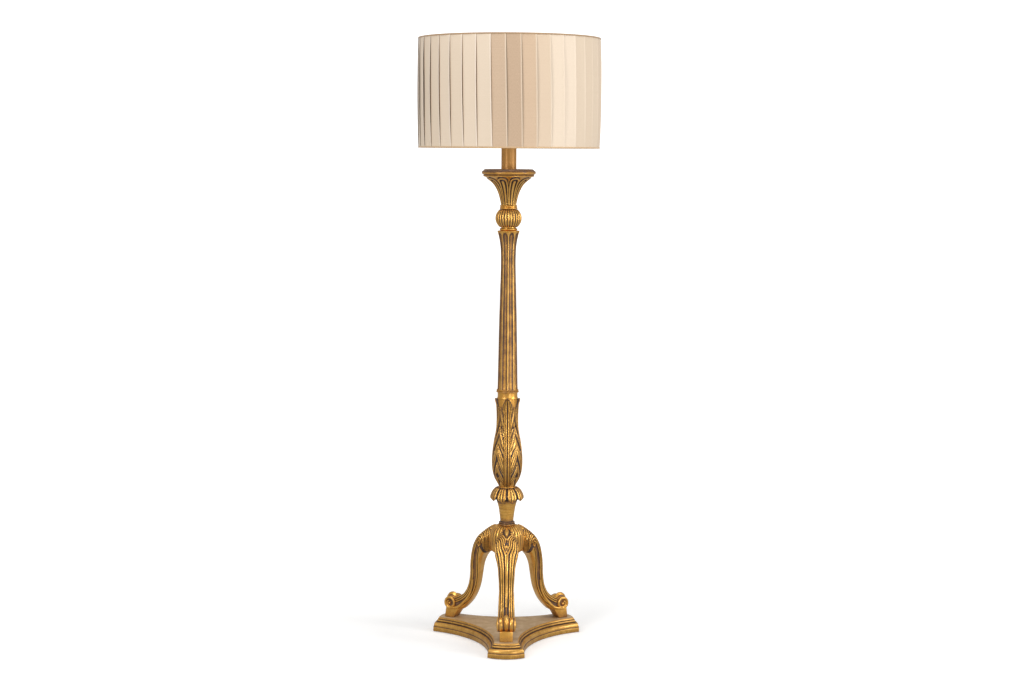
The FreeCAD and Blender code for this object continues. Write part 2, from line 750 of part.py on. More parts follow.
# ---- Nodes ----------------------------------------------------------------------------------
def main():
    pieces = {
        "felt_pads": felt_pads(),
        "plinth_slab": [plinth_slab()],
        "plinth_moulded_board": [plinth_moulded_board()],
        "foot_screws": foot_screws(),
        "leg_dowels": leg_dowels(),
        "leg_hub": [leg_hub()],
        "lamp_rod": [lamp_rod()],
        "rod_nuts": rod_nuts(),
        "rod_washers": rod_washers(),
        "cord_outlet_bush": [cord_outlet_bush()],
        "vase_stem": [rod_bored(turned(VASE_PROFILE, ROUND_SIDES))],
        "petal_collar": [lobed(PETAL_LEVELS)],
        "acanthus_baluster": [acanthus_baluster()],
        "reeded_column": [reeded_column()],
        "gadrooned_knop": [gadrooned_knop()],
        "leaf_capital": [lobed(CAPITAL_LEVELS)],
        "drip_pan": [drip_pan()],
        "candle_tube": [candle_tube()],
        "lampholder_body": [lampholder_body()],
        "lampholder_contacts": lampholder_contacts(),
        "bulb_glass": [bulb_glass()],
        "bulb_cap": [bulb_cap()],
        "bulb_contact": [bulb_contact()],
        "shade_ring_nut": [shade_ring_nut()],
        "shade_carrier": [shade_carrier()],
        "shade_top_ring": [shade_top_ring()],
        "shade_lining": [shade_lining()],
        "shade_cover": [shade_cover()],
        "shade_top_binding": [shade_binding(OVERALL_HEIGHT - BINDING_HEIGHT)],
        "shade_bottom_binding": [shade_binding(SHADE_BOTTOM)],
    }
    leg = carved_leg()
    for name, angle in zip(LEG_NAMES, LEG_ANGLES):
        pieces[name] = [turned_to(leg, angle)]
    os.makedirs("parts", exist_ok=True)
    for name, solids in pieces.items():
        shape = solids[0] if len(solids) == 1 else Part.makeCompound(solids)
        shape.exportStep("parts/" + name + ".step")


main()
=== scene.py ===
import math

import bpy
import numpy as np
from mathutils import Matrix, Vector
from mathutils.kdtree import KDTree


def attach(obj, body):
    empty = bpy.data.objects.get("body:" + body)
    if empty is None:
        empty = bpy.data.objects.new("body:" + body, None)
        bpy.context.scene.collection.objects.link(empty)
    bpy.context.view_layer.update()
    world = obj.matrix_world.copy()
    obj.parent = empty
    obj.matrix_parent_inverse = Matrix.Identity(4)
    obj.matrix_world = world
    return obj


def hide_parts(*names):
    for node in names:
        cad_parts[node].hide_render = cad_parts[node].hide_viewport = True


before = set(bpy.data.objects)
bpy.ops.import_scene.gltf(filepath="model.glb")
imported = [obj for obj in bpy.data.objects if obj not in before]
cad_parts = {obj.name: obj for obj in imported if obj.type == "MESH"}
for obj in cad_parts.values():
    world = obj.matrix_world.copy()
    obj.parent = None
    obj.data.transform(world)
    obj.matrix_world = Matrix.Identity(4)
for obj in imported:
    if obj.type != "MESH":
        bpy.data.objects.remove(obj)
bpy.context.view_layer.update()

# Sizes below are in millimetres, as on a maker's drawing; MM turns them into metres.
MM = 0.001
LEG_TURNS = {"front_leg": -90, "right_leg": 30, "left_leg": 150}
SHADE_LOW = 1380
SHADE_HIGH = 1680


# ---- Workbench
def put_down():
    """Leaves nothing selected."""
    if bpy.context.object and bpy.context.object.mode != "OBJECT":
        bpy.ops.object.mode_set(mode="OBJECT")
    bpy.ops.object.select_all(action="DESELECT")


def take(piece):
    """Selects one piece alone."""
    put_down()
    piece.select_set(True)
    bpy.context.view_layer.objects.active = piece


def named(name):
    piece = bpy.context.object
    piece.name = piece.data.name = name
    return piece


def open_mesh(piece):
    """Opens a piece's mesh with everything in it selected."""
    take(piece)
    bpy.ops.object.mode_set(mode="EDIT")
    bpy.ops.mesh.select_all(action="SELECT")


def close_mesh():
    bpy.ops.object.mode_set(mode="OBJECT")


def pick_facing(piece, way):
    """Selects the faces that look up, or down with way -1, and stays in edit mode."""
    open_mesh(piece)
    bpy.ops.mesh.select_mode(type="FACE")
    bpy.ops.mesh.select_all(action="DESELECT")
    close_mesh()
    for face in piece.data.polygons:
        face.select = face.normal.z * way > 0.9
    bpy.ops.object.mode_set(mode="EDIT")


def settle(piece):
    """Puts the piece's place, turn and scale into its mesh."""
    take(piece)
    bpy.ops.object.transform_apply(location=True, rotation=True, scale=True)
    return piece


def finish_with(piece, kind, **values):
    """Adds a modifier and applies it."""
    take(piece)
    modifier = piece.modifiers.new(kind.title(), kind)
    for key, value in values.items():
        setattr(modifier, key, value)
    bpy.ops.object.modifier_apply(modifier=modifier.name)


def cut_with(piece, operation, tool):
    """Joins or cuts a piece with another, which is used up."""
    finish_with(piece, "BOOLEAN", operation=operation, solver="EXACT", object=tool)
    bpy.data.objects.remove(tool)


def outward(piece):
    """Merges what meets and turns every face outwards."""
    open_mesh(piece)
    bpy.ops.mesh.remove_doubles(threshold=0.01 * MM)
    bpy.ops.mesh.normals_make_consistent(inside=False)
    close_mesh()


def smooth(piece, degrees=35):
    take(piece)
    bpy.ops.object.shade_smooth_by_angle(angle=math.radians(degrees))


def join(name, pieces):
    put_down()
    for piece in pieces:
        piece.select_set(True)
    bpy.context.view_layer.objects.active = pieces[0]
    if len(pieces) > 1:
        bpy.ops.object.join()
    return named(name)


def copy_of(piece, name):
    put_down()
    copy = piece.copy()
    copy.data = piece.data.copy()
    bpy.context.collection.objects.link(copy)
    copy.name = copy.data.name = name
    return copy


def turned_about(piece, degrees):
    """Turns a piece about the lamp's axis, in its mesh."""
    piece.data.transform(Matrix.Rotation(math.radians(degrees), 4, "Z"))
    piece.data.update()
    return piece


def places(piece):
    """The points of a piece, in millimetres."""
    points = np.empty(len(piece.data.vertices) * 3, np.float32)
    piece.data.vertices.foreach_get("co", points)
    return points.reshape(-1, 3) / MM


def darken(piece, value, kind="patina"):
    """Gives a piece one depth of patina, or one for each of its points."""
    store = piece.data.attributes.get(kind)
    if store is None:
        store = piece.data.attributes.new(kind, "FLOAT", "POINT")
    store.data.foreach_set("value", np.full(len(piece.data.vertices), value, np.float32))


def fitted(piece, material, node, body="stand"):
    """Gives a piece its finish and slot, ties it to its body and puts it in a node's place."""
    piece.data.materials.clear()
    piece.data.materials.append(material)
    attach(piece, body)
    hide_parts(node)


# ---- Curves and carving
def eased(points, count):
    """Even steps along a smooth line through points; straight where points are doubled."""
    points = np.asarray(points, float)
    padded = np.vstack([2 * points[0] - points[1], points, 2 * points[-1] - points[-2]])
    fine = []
    for k in range(len(points) - 1):
        before, start, end, after = padded[k : k + 4]
        u = np.linspace(0, 1, 24, endpoint=False)[:, None]
        fine.append(0.5 * (
            2 * start
            + (end - before) * u
            + (2 * before - 5 * start + 4 * end - after) * u**2
            + (3 * start - before - 3 * end + after) * u**3
        ))
    fine = np.vstack(fine + [points[-1:]])
    along = np.concatenate([[0], np.cumsum(np.linalg.norm(np.diff(fine, axis=0), axis=1))])
    steps = np.linspace(0, along[-1], count)
    return np.column_stack([np.interp(steps, along, fine[:, k]) for k in range(points.shape[1])])


def unit_steps(line):
    """Direction along a line at each of its points."""
    step = np.gradient(line, axis=0)
    return step / np.linalg.norm(step, axis=1, keepdims=True)


def square_to(step):
    """Direction square to each step, on its right."""
    return np.column_stack([step[:, 1], -step[:, 0]])


def all_round(count):
    """One row of even turns about the lamp's axis, in degrees."""
    return np.linspace(0, 360, count, endpoint=False)[None, :]


def clipped(value):
    return np.clip(value, 0, 1)


def arched(share):
    """Half round: 1 in the middle, 0 at -1 and at 1."""
    return np.sqrt(clipped(1 - share**2))


def hump(share):
    """Round ridge between grooves at every whole number."""
    return arched(2 * (share - np.floor(share)) - 1)


def bell(value, middle, spread):
    """Soft peak: 1 in its middle, near 0 two spreads away."""
    return np.exp(-(((value - middle) / spread) ** 2))


def ramp(value, low, high):
    """Soft step from 0 to 1."""
    t = clipped((value - low) / (high - low))
    return t * t * (3 - 2 * t)


def patched(carving, inside, level, tone):
    """A carving's height and patina, with new ones where a test is true."""
    height, patina = carving
    return np.where(inside, level, height), np.where(inside, tone, patina)


def groove_dark(ridge, low, high):
    """Deep patina that fades out as a ridge rises from low to high."""
    return 0.85 * (1 - ramp(ridge, low, high))


def reeded(place, cuts):
    """Reeds and flutes side by side: (from, to, height, patina) rows give height and patina."""
    carving = np.full(place.shape, -0.15), np.full(place.shape, 0.06)
    for start, end, rise, dark in cuts:
        share = (place - start) / (end - start)
        bow = arched(2 * share - 1)
        if rise > 0:
            level, tone = -1 + (1 + rise) * bow, dark + groove_dark(bow, 0.30, 0.80)
        else:
            level, tone = -1 + rise * bow, dark + 0.35 * (1 - ramp(bow, 0.5, 0.9))
        inside = (share >= 0) & (share < 1)
        carving = patched(carving, inside, level, clipped(tone))
    return carving


def feather(across, up, route, widths):
    """Where points lie on a curved lobe: reach (1 at its edge), and side from -1 to 1."""
    steps = 44
    line = eased(route, steps)
    wide = np.interp(np.linspace(0, 1, steps), np.linspace(0, 1, len(widths)), widths)
    way = unit_steps(line)
    gap = np.stack([across[..., None] - line[:, 0], up[..., None] - line[:, 1]])
    near = np.argmin((gap**2).sum(axis=0), axis=-1)
    gap = np.take_along_axis(gap, near[None, ..., None], axis=-1)[..., 0]
    forth = gap[0] * way[near, 0] + gap[1] * way[near, 1]
    cross = gap[0] * way[near, 1] - gap[1] * way[near, 0]
    share = cross / wide[near]
    past = np.where((near == 0) | (near == steps - 1), forth / 2, 0)
    return np.hypot(share, past), share


def laid_round(name, points, patina, ends=True, seam=True):
    """A flat grid laid round a form: its rows run along the form, its columns round it."""
    if seam:
        points = np.concatenate([points, points[:, :1]], axis=1)
        patina = np.concatenate([patina, patina[:, :1]], axis=1)
    rows, columns = points.shape[:2]
    put_down()
    bpy.ops.mesh.primitive_grid_add(
        x_subdivisions=columns - 1, y_subdivisions=rows - 1, size=1, location=(0, 0, 0)
    )
    piece = named(name)
    piece.data.vertices.foreach_set("co", (points.reshape(-1, 3) * MM).ravel().astype(np.float32))
    darken(piece, patina.ravel())
    piece.data.update()
    open_mesh(piece)
    bpy.ops.mesh.remove_doubles(threshold=0.002 * MM)
    if ends:
        bpy.ops.mesh.select_all(action="DESELECT")
        bpy.ops.mesh.select_mode(type="EDGE")
        bpy.ops.mesh.select_non_manifold(extend=False)
        bpy.ops.mesh.fill_holes(sides=0)
        bpy.ops.mesh.select_all(action="SELECT")
        bpy.ops.mesh.normals_make_consistent(inside=False)
    close_mesh()
    smooth(piece, 50)
    return piece


def carved_turning(name, line, height, patina):
    """A turned form whose surface is cut in or raised along its own normal.

    line holds (radius, z) rows, height the carving in millimetres with a column a turn.
    """
    normal = square_to(unit_steps(line))
    radius = line[:, :1] + normal[:, :1] * height
    z = line[:, 1:] + normal[:, 1:] * height
    turn = np.radians(all_round(height.shape[1]))
    points = np.stack([radius * np.cos(turn), radius * np.sin(turn), z + 0 * turn], axis=-1)
    return laid_round(name, points, patina)


def turned(name, profile, sides=96, patina=0.15):
    """A round piece drawn up from a disc: each step is extruded and then scaled."""
    radius, z = profile[0]
    put_down()
    bpy.ops.mesh.primitive_circle_add(
        vertices=sides, radius=radius * MM, fill_type="NGON", location=(0, 0, z * MM)
    )
    piece = settle(named(name))
    open_mesh(piece)
    for next_radius, next_z in profile[1:]:
        rise = (0, 0, (next_z - z) * MM)
        bpy.ops.mesh.extrude_region_move(TRANSFORM_OT_translate={"value": rise})
        share = next_radius / radius
        bpy.ops.transform.resize(value=(share, share, 1), center_override=(0, 0, next_z * MM))
        radius, z = next_radius, next_z
    close_mesh()
    outward(piece)
    smooth(piece, 30)
    darken(piece, patina)
    return piece


def round_block(name, radius, low, high, sides, place=(0, 0), turn=0):
    """A round block between two heights."""
    put_down()
    bpy.ops.mesh.primitive_cylinder_add(
        vertices=sides, radius=radius * MM, depth=(high - low) * MM, rotation=(0, 0, turn),
        location=(place[0] * MM, place[1] * MM, (low + high) / 2 * MM),
    )
    return settle(named(name))


def bored(piece, radius, low, high, sides=64):
    """Drills a piece on the lamp's axis."""
    cut_with(piece, "DIFFERENCE", round_block("drill", radius, low, high, sides))
    smooth(piece, 30)


# ---- Finishes
def sheet_of_nodes(name, fixed):
    """A new material with its shader's fixed values, and ways to add and link nodes."""
    material = bpy.data.materials.new(name)
    material.use_nodes = True
    tree = material.node_tree
    shader = tree.nodes["Principled BSDF"]
    for key, value in fixed.items():
        shader.inputs[key].default_value = value

    def add(kind, inputs=None, **values):
        node = tree.nodes.new(kind)
        for key, value in values.items():
            setattr(node, key, value)
        for key, value in (inputs or {}).items():
            if isinstance(value, bpy.types.NodeSocket):
                tree.links.new(value, node.inputs[key])
            else:
                node.inputs[key].default_value = value
        return node

    def link(socket, target):
        tree.links.new(socket, shader.inputs[target])

    return material, add, link


def noise(add, scale, detail=2, roughness=0.5, place=None):
    """Cloudy pattern from 0 to 1, in the piece's own coordinates unless place is given."""
    if place is None:
        place = add("ShaderNodeTexCoord").outputs["Object"]
    inputs = {"Vector": place, "Scale": scale, "Detail": detail, "Roughness": roughness}
    return add("ShaderNodeTexNoise", inputs).outputs["Fac"]


def streaks(add, source, stretch, detail=2, roughness=0.5):
    """The same pattern drawn out along one or two directions."""
    place = add("ShaderNodeTexCoord").outputs[source]
    place = add("ShaderNodeMapping", {"Vector": place, "Scale": stretch}).outputs[0]
    return noise(add, 1, detail, roughness, place)


def sum_of(add, one, other, clamp=False):
    return add("ShaderNodeMath", {0: one, 1: other}, operation="ADD", use_clamp=clamp).outputs[0]


def times(add, one, other):
    return add("ShaderNodeMath", {0: one, 1: other}, operation="MULTIPLY").outputs[0]


def grained(add, link, height, strength, depth=0.0002):
    """Fine grain on the surface."""
    bump = add("ShaderNodeBump", {"Height": height, "Strength": strength, "Distance": depth})
    link(bump.outputs["Normal"], "Normal")


def colours(add, factor, stops):
    """A colour ramp with (place, colour) stops."""
    node = add("ShaderNodeValToRGB", {"Fac": factor})
    band = node.color_ramp
    while len(band.elements) < len(stops):
        band.elements.new(0.5)
    for element, (place, colour) in zip(band.elements, stops):
        element.position = place
        element.color = (*colour, 1)
    return node.outputs["Color"]


def number(add, factor, low, high, start=0, end=1):
    """Turns a 0 to 1 value into a range."""
    node = add(
        "ShaderNodeMapRange",
        {"Value": factor, "From Min": start, "From Max": end, "To Min": low, "To Max": high},
    )
    return node.outputs["Result"]


def gilding(name, bright, middle, brown, wear, mottle, strokes=0, coat=0.22,
            gloss=(0.30, 0.64), metal=0.9):
    """Burnished leaf over a red-brown ground, with dark patina lying in the carving."""
    # Wax over the leaf gives the pale glints.
    material, add, link = sheet_of_nodes(name, {"Coat Weight": coat, "Coat Roughness": 0.22})
    dirt = add("ShaderNodeAttribute", attribute_name="patina").outputs["Fac"]
    dull = add("ShaderNodeAttribute", attribute_name="dull").outputs["Fac"]
    cloud = noise(add, 42, 5, 0.62)
    speck = noise(add, 310, 6, 0.7)
    # Brush marks run round the piece.
    marks = streaks(add, "Object", (25, 25, 520), 4, 0.6)
    for pattern, share in ((cloud, mottle), (speck, wear), (marks, strokes)):
        dirt = sum_of(add, dirt, times(add, sum_of(add, pattern, -0.5), share))
    dirt = sum_of(add, dirt, 0.06, clamp=True)
    leaf = colours(add, dirt, ((0, bright), (0.24, middle), (0.55, brown), (0.88, PATINA)))
    tan = colours(add, cloud, ((0.3, (0.36, 0.24, 0.12)), (0.7, (0.60, 0.44, 0.26))))
    blend = add("ShaderNodeMix", {0: dull, 6: leaf, 7: tan}, data_type="RGBA")
    link(blend.outputs[2], "Base Color")
    worn = sum_of(add, times(add, dull, 0.5), dirt)
    link(number(add, worn, metal, 0.10, 0.2, 0.75), "Metallic")
    link(number(add, worn, gloss[0], gloss[1], 0.05, 0.7), "Roughness")
    grained(add, link, sum_of(add, cloud, noise(add, 700, 4, 0.6)), 0.20)
    return material


def plain(name, colour, roughness, metallic=0, fleck=0.08, scale=120):
    """A simple finish with a little variation in colour and gloss."""
    material, add, link = sheet_of_nodes(name, {"Metallic": metallic})
    cloud = noise(add, scale, 4, 0.6)
    dim = tuple(c * (1 - 2 * fleck) for c in colour)
    link(colours(add, cloud, ((0.3, dim), (0.7, colour))), "Base Color")
    link(number(add, cloud, roughness * 0.85, min(1, roughness * 1.2)), "Roughness")
    grained(add, link, cloud, 0.1)
    return material


def satin_cloth():
    """Slubbed satin: fine cross threads, a soft sheen, and each panel's tone with painted light
    and shade on the panels and folds.
    """
    material, add, link = sheet_of_nodes("pleated_satin", {
        "Sheen Weight": 0.25, "Sheen Roughness": 0.4, "Sheen Tint": (1, 0.94, 0.87, 1),
        "Specular IOR Level": 0.4,
    })
    # The panel tone holds painted light and shade on the panels and in the folds.
    tone = add("ShaderNodeAttribute", attribute_name="panel_tone_and_painted_light").outputs["Fac"]
    threads = streaks(add, "UV", (14, 620, 1), 3, 0.6)
    weave = sum_of(add, threads, streaks(add, "UV", (2600, 60, 1)))
    shade = sum_of(add, tone, number(add, weave, -0.05, 0.05, 0.6, 1.4), clamp=True)
    link(colours(add, shade, CLOTH_TONES_AND_PAINTED_LIGHT), "Base Color")
    link(number(add, weave, 0.42, 0.60, 0.6, 1.4), "Roughness")
    grained(add, link, weave, 0.25)
    return material


def ribbon(name, colour):
    """Woven tape: ribs across its width."""
    material, add, link = sheet_of_nodes(name, {"Sheen Weight": 0.3})
    cloud = noise(add, 900, 3)
    dim = tuple(c * 0.72 for c in colour)
    link(colours(add, cloud, ((0.35, dim), (0.65, colour))), "Base Color")
    link(number(add, cloud, 0.5, 0.75), "Roughness")
    grained(add, link, cloud, 0.35, 0.0003)
    return material


def pearl_glass():
    material, add, link = sheet_of_nodes("pearl_glass", {
        "Subsurface Weight": 0.3, "Subsurface Radius": (0.01, 0.01, 0.01), "Coat Weight": 0.4,
    })
    cloud = noise(add, 60)
    link(colours(add, cloud, ((0.3, (0.90, 0.89, 0.86)), (0.7, (0.95, 0.94, 0.92)))), "Base Color")
    link(number(add, cloud, 0.16, 0.24), "Roughness")
    return material


# From painted shade where the cloth folds under, through the cloth's own tones, to a painted
# highlight on its free edge.
CLOTH_TONES_AND_PAINTED_LIGHT = (
    (0, (0.10, 0.055, 0.032)), (0.22, (0.32, 0.205, 0.13)), (0.42, (0.63, 0.46, 0.315)),
    (0.62, (0.735, 0.60, 0.455)), (0.82, (0.86, 0.725, 0.59)), (1, (0.96, 0.87, 0.77)),
)
# Leaf from rubbed to worn through, and the old wax in the hollows.
GOLD_BRIGHT = (0.92, 0.53, 0.135)
GOLD_MIDDLE = (0.70, 0.35, 0.062)
GOLD_BROWN = (0.235, 0.105, 0.034)
PATINA = (0.058, 0.030, 0.020)
carved_gold = gilding(
    "carved_gilding", GOLD_BRIGHT, GOLD_MIDDLE, GOLD_BROWN, wear=0.5, mottle=0.8
)
smooth_gold = gilding(
    "smooth_gilding", GOLD_BRIGHT, (0.74, 0.39, 0.070), GOLD_BROWN,
    wear=0.55, mottle=1, strokes=1.3, coat=0.3,
)
plinth_gold = gilding(
    "plinth_gilding", (0.78, 0.45, 0.115), (0.54, 0.275, 0.052), (0.19, 0.09, 0.033),
    wear=0.6, mottle=0.8, gloss=(0.34, 0.66), metal=0.8, coat=0.3,
)
amber_sleeve = plain("amber_sleeve", (0.53, 0.26, 0.066), 0.40, 0.40, fleck=0.06, scale=30)
ivory = plain("ivory_plastic", (0.82, 0.79, 0.70), 0.35)
bright_brass = plain("bright_brass", (0.80, 0.60, 0.26), 0.28, metallic=1)
cap_metal = plain("cap_metal", (0.78, 0.78, 0.77), 0.25, metallic=1)
white_wire = plain("white_wire", (0.84, 0.82, 0.78), 0.4)
zinc = plain("zinc_steel", (0.62, 0.62, 0.60), 0.38, metallic=1)
felt = plain("pad_felt", (0.16, 0.13, 0.11), 0.95, fleck=0.25, scale=900)
beech = plain("bare_beech", (0.66, 0.48, 0.30), 0.6, fleck=0.12, scale=200)
black_plastic = plain("black_bush", (0.03, 0.03, 0.03), 0.4)
lining_card = plain("lining_card", (0.80, 0.74, 0.64), 0.7, fleck=0.03, scale=300)
satin = satin_cloth()
# The upper tape is the lower one's tan binding, darkened as painted shade.
top_tape_in_painted_shade = ribbon("top_tape_in_painted_shade", (0.47, 0.30, 0.16))
bottom_tape = ribbon("bottom_tape", (0.70, 0.47, 0.26))
pearl = pearl_glass()


# ---- Plinth
# Three bowed corners and three hollowed sides, in millimetres from the lamp's axis.
PLINTH_TOP = 40
CORNER_REACH = 228
CORNER_ARC = 90
SIDE_APOTHEM = 98
SIDE_ARC = 268.5
CORNER_FLATS = 36
SIDE_FLATS = 72


def arc_block(radius, away, turn, sides, low, high):
    """A round block on a leg's line, with a flat facing along that line."""
    place = (away * math.cos(turn), away * math.sin(turn))
    return round_block(
        "arc_block", radius, low, high, sides, place, turn - math.pi / 2 + math.pi / sides
    )


def three_cornered_plate(name, inset, low, high):
    """A round middle joined to three bowed corners, then hollowed along its sides."""
    plate = arc_block(140, 0, 0, 40, low, high)
    plate.name = name
    cuts = (
        ("UNION", CORNER_ARC - inset, CORNER_REACH - CORNER_ARC, CORNER_FLATS, 0),
        ("DIFFERENCE", SIDE_ARC + inset, -(SIDE_APOTHEM + SIDE_ARC), SIDE_FLATS, 9),
    )
    for operation, radius, away, flats, past in cuts:
        for degrees in LEG_TURNS.values():
            turn = math.radians(degrees)
            tool = arc_block(radius, away, turn, flats, low - past, high + past)
            cut_with(plate, operation, tool)
    open_mesh(plate)
    bpy.ops.mesh.remove_doubles(threshold=0.02 * MM)
    bpy.ops.mesh.dissolve_limited(angle_limit=math.radians(0.5))
    close_mesh()
    return plate


def moulded(plate, steps, way=1):
    """Draws a moulding up, or down with way -1, from a plate's face: (inset, rise) steps."""
    pick_facing(plate, way)
    for inset, rise in steps:
        if inset > 0:
            bpy.ops.mesh.inset(thickness=inset * MM, depth=rise * MM, use_even_offset=True)
        else:
            up = (0, 0, way * rise * MM)
            bpy.ops.mesh.extrude_region_move(TRANSFORM_OT_translate={"value": up})
    close_mesh()


def quarter_round(width, rise, steps):
    """(inset, rise) steps of a quarter round moulding."""
    angles = np.linspace(0, math.pi / 2, steps + 1)
    return list(zip(np.diff(width * (1 - np.cos(angles))), np.diff(rise * np.sin(angles))))


def plinth_patina(board, recesses, top=None):
    """Dark in the recesses of the moulding, lighter on the rounds, dull on the flat top."""
    z = places(board)[:, 2]
    value = np.full(len(z), 0.12)
    for level, spread, depth in recesses:
        value = np.maximum(value, depth * bell(z, level, spread))
    if top is not None:
        flat = z > PLINTH_TOP - 0.05
        value = np.where(flat, top, value)
        darken(board, np.where(flat, 0.85, 0), "dull")
    darken(board, value)


def plinth_slab():
    slab = three_cornered_plate("slab", 0, 2.3, 12.6)
    moulded(slab, quarter_round(1.4, 1.4, 3))
    moulded(slab, quarter_round(0.8, 0.8, 2), way=-1)
    outward(slab)
    plinth_patina(slab, ((14, 0.5, 0.8), (1.6, 0.8, 0.5)))
    smooth(slab)
    fitted(slab, plinth_gold, "plinth_slab")


def plinth_moulded_board():
    """Ovolo, quirk, bead and nosing: each round is drawn from its own widest plate."""
    ovolo = three_cornered_plate("ovolo", 1.5, 14, 17)
    moulded(ovolo, quarter_round(9.6, 10.2, 9) + [(2.2, 0), (0, 1.8)])
    bead = three_cornered_plate("bead", 10.8, 30.4, 31.4)
    moulded(bead, quarter_round(2.4, 2.4, 5) + [(1.4, 0), (0, 1.2)])
    moulded(bead, quarter_round(2.2, 2, 5) + [(0.6, 0), (0, 0.6)], way=-1)
    nosing = three_cornered_plate("nosing", 14.2, 34.6, 36.2)
    moulded(nosing, quarter_round(3.4, 3.8, 7))
    moulded(nosing, [(0.8, 0.4)], way=-1)
    for part in (ovolo, bead, nosing):
        outward(part)
    board = join("moulded_board", [ovolo, bead, nosing])
    plinth_patina(
        board,
        ((14.3, 0.8, 0.85), (27.6, 1.1, 0.95), (28.6, 0.6, 0.7), (34.4, 0.8, 0.95)), top=0.22,
    )
    smooth(board)
    fitted(board, plinth_gold, "plinth_moulded_board")


# ---- Legs
# Upper edge and lower edge as (distance from the axis, height), and the width across.
LEG_LINE = (
    (31, 324.6, 36, 250, 44),
    (41, 321, 40, 248.5, 52),
    (51, 316, 44, 247, 59),
    (68, 304, 52, 245.5, 65),
    (82, 289.5, 58, 242, 67),
    (93, 272, 64.5, 235, 63),
    (101.5, 252.5, 71, 224.5, 54.5),
    (107.5, 228, 77, 209, 47),
    (110.5, 203, 80.5, 193, 43.5),
    (111.5, 178, 83, 175, 40.5),
    (115.5, 150, 88, 148, 39),
    (123, 129, 95.5, 124, 39.5),
    (134, 114, 107.5, 101, 41.5),
    (147, 105.5, 123, 81.5, 43),
    (160, 100, 141, 66, 42),
    (170, 96, 160, 63.5, 39),
)
LEG_ROWS = 230
LEG_COLUMNS = 280
# The leg's carving in millimetres: edge of the face, half the middle rib, the curl's eye
# (arc from the centre line, length down), how far the reeds part above the knee; and the
# crown's ridges in degrees.
FACE = 20.5
HALF_RIB = 4.2
CURL_ARC = 47
CURL_ROW = 62
PARTING = 11
RIDGE_PITCH = 12
# Reeds and flutes across the leg: from, to, height, patina at the middle. The first starts
# where the root begins.
LEG_REEDS = (
    (-16.5, -12.2, 1.1, 0.03),
    (-12.2, -11, -1, 0.90),
    (-11, -6.7, 1.1, 0.03),
    (-6.7, -5.5, -1, 0.90),
    (-5.5, -1.2, 1.1, 0.03),
    (-1.2, 0, -1, 0.90),
    (0, 4.2, 0.9, 0.08),
    (4.2, 6.4, -1.4, 0.85),
    (6.4, 11, 1.1, 0.04),
    (11, 12, -0.6, 0.88),
    (12, 17, 1.1, 0.04),
    (17, 19.4, -1.2, 0.90),
    (19.4, 24, 0.9, 0.06),
    (24, 25.3, -0.6, 0.85),
    (25.3, 29.4, 0.8, 0.06),
    (29.4, 38.4, -1.9, 0.56),
    (38.4, 42.2, 0.7, 0.06),
    (42.2, 44, -0.7, 0.88),
)
# The curl's eye: reach, height, patina.
CURL_RINGS = ((8.8, -1.4, 0.92), (7.6, 1, 0.04), (4.8, -2.8, 0.96), (2.2, 0.8, 0.08))


def leg_form():
    """Rounded section swept down the leg: its points, outward normals and own measures.

    The measures are the arc from the outer centre line, half width, length down the leg.
    """
    line = eased(LEG_LINE, LEG_ROWS)
    upper, lower, width = line[:, 0:2], line[:, 2:4], line[:, 4]
    across = upper - lower
    length = np.concatenate([[0], np.cumsum(np.linalg.norm(np.diff(upper, axis=0), axis=1))])
    turn = np.linspace(0, 2 * math.pi, LEG_COLUMNS, endpoint=False) + math.pi / 2
    # Round where it leaves the hub, squarer below the knee.
    square = (1 - 0.46 * ramp(length, 0, 70))[:, None]
    side = np.sign(np.cos(turn)) * np.abs(np.cos(turn)) ** square
    rise = np.sign(np.sin(turn)) * np.abs(np.sin(turn)) ** square
    side = side * np.where(rise < 0, 1 + 0.08 * rise, 1)
    share = 0.5 + 0.5 * rise
    x = lower[:, :1] + across[:, :1] * share
    z = lower[:, 1:] + across[:, 1:] * share
    y = width[:, None] / 2 * side
    points = np.stack([x, y + 0 * x, z], axis=-1)
    # Normals from the two directions of the grid.
    round_it = np.roll(points, -1, axis=1) - np.roll(points, 1, axis=1)
    down_it = np.gradient(points, axis=0)
    normal = np.cross(down_it, round_it)
    normal /= np.linalg.norm(normal, axis=2, keepdims=True)
    middle = points.mean(axis=1, keepdims=True)
    flip = np.sign(((points - middle) * normal).sum(axis=2).mean())
    step = np.linalg.norm(np.diff(points, axis=1, append=points[:, :1]), axis=2)
    reach = np.concatenate([np.zeros((LEG_ROWS, 1)), np.cumsum(step, axis=1)[:, :-1]], axis=1)
    arc = np.minimum(reach, step.sum(axis=1, keepdims=True) - reach)
    return points, normal * flip, arc, width[:, None] / 2, length[:, None]


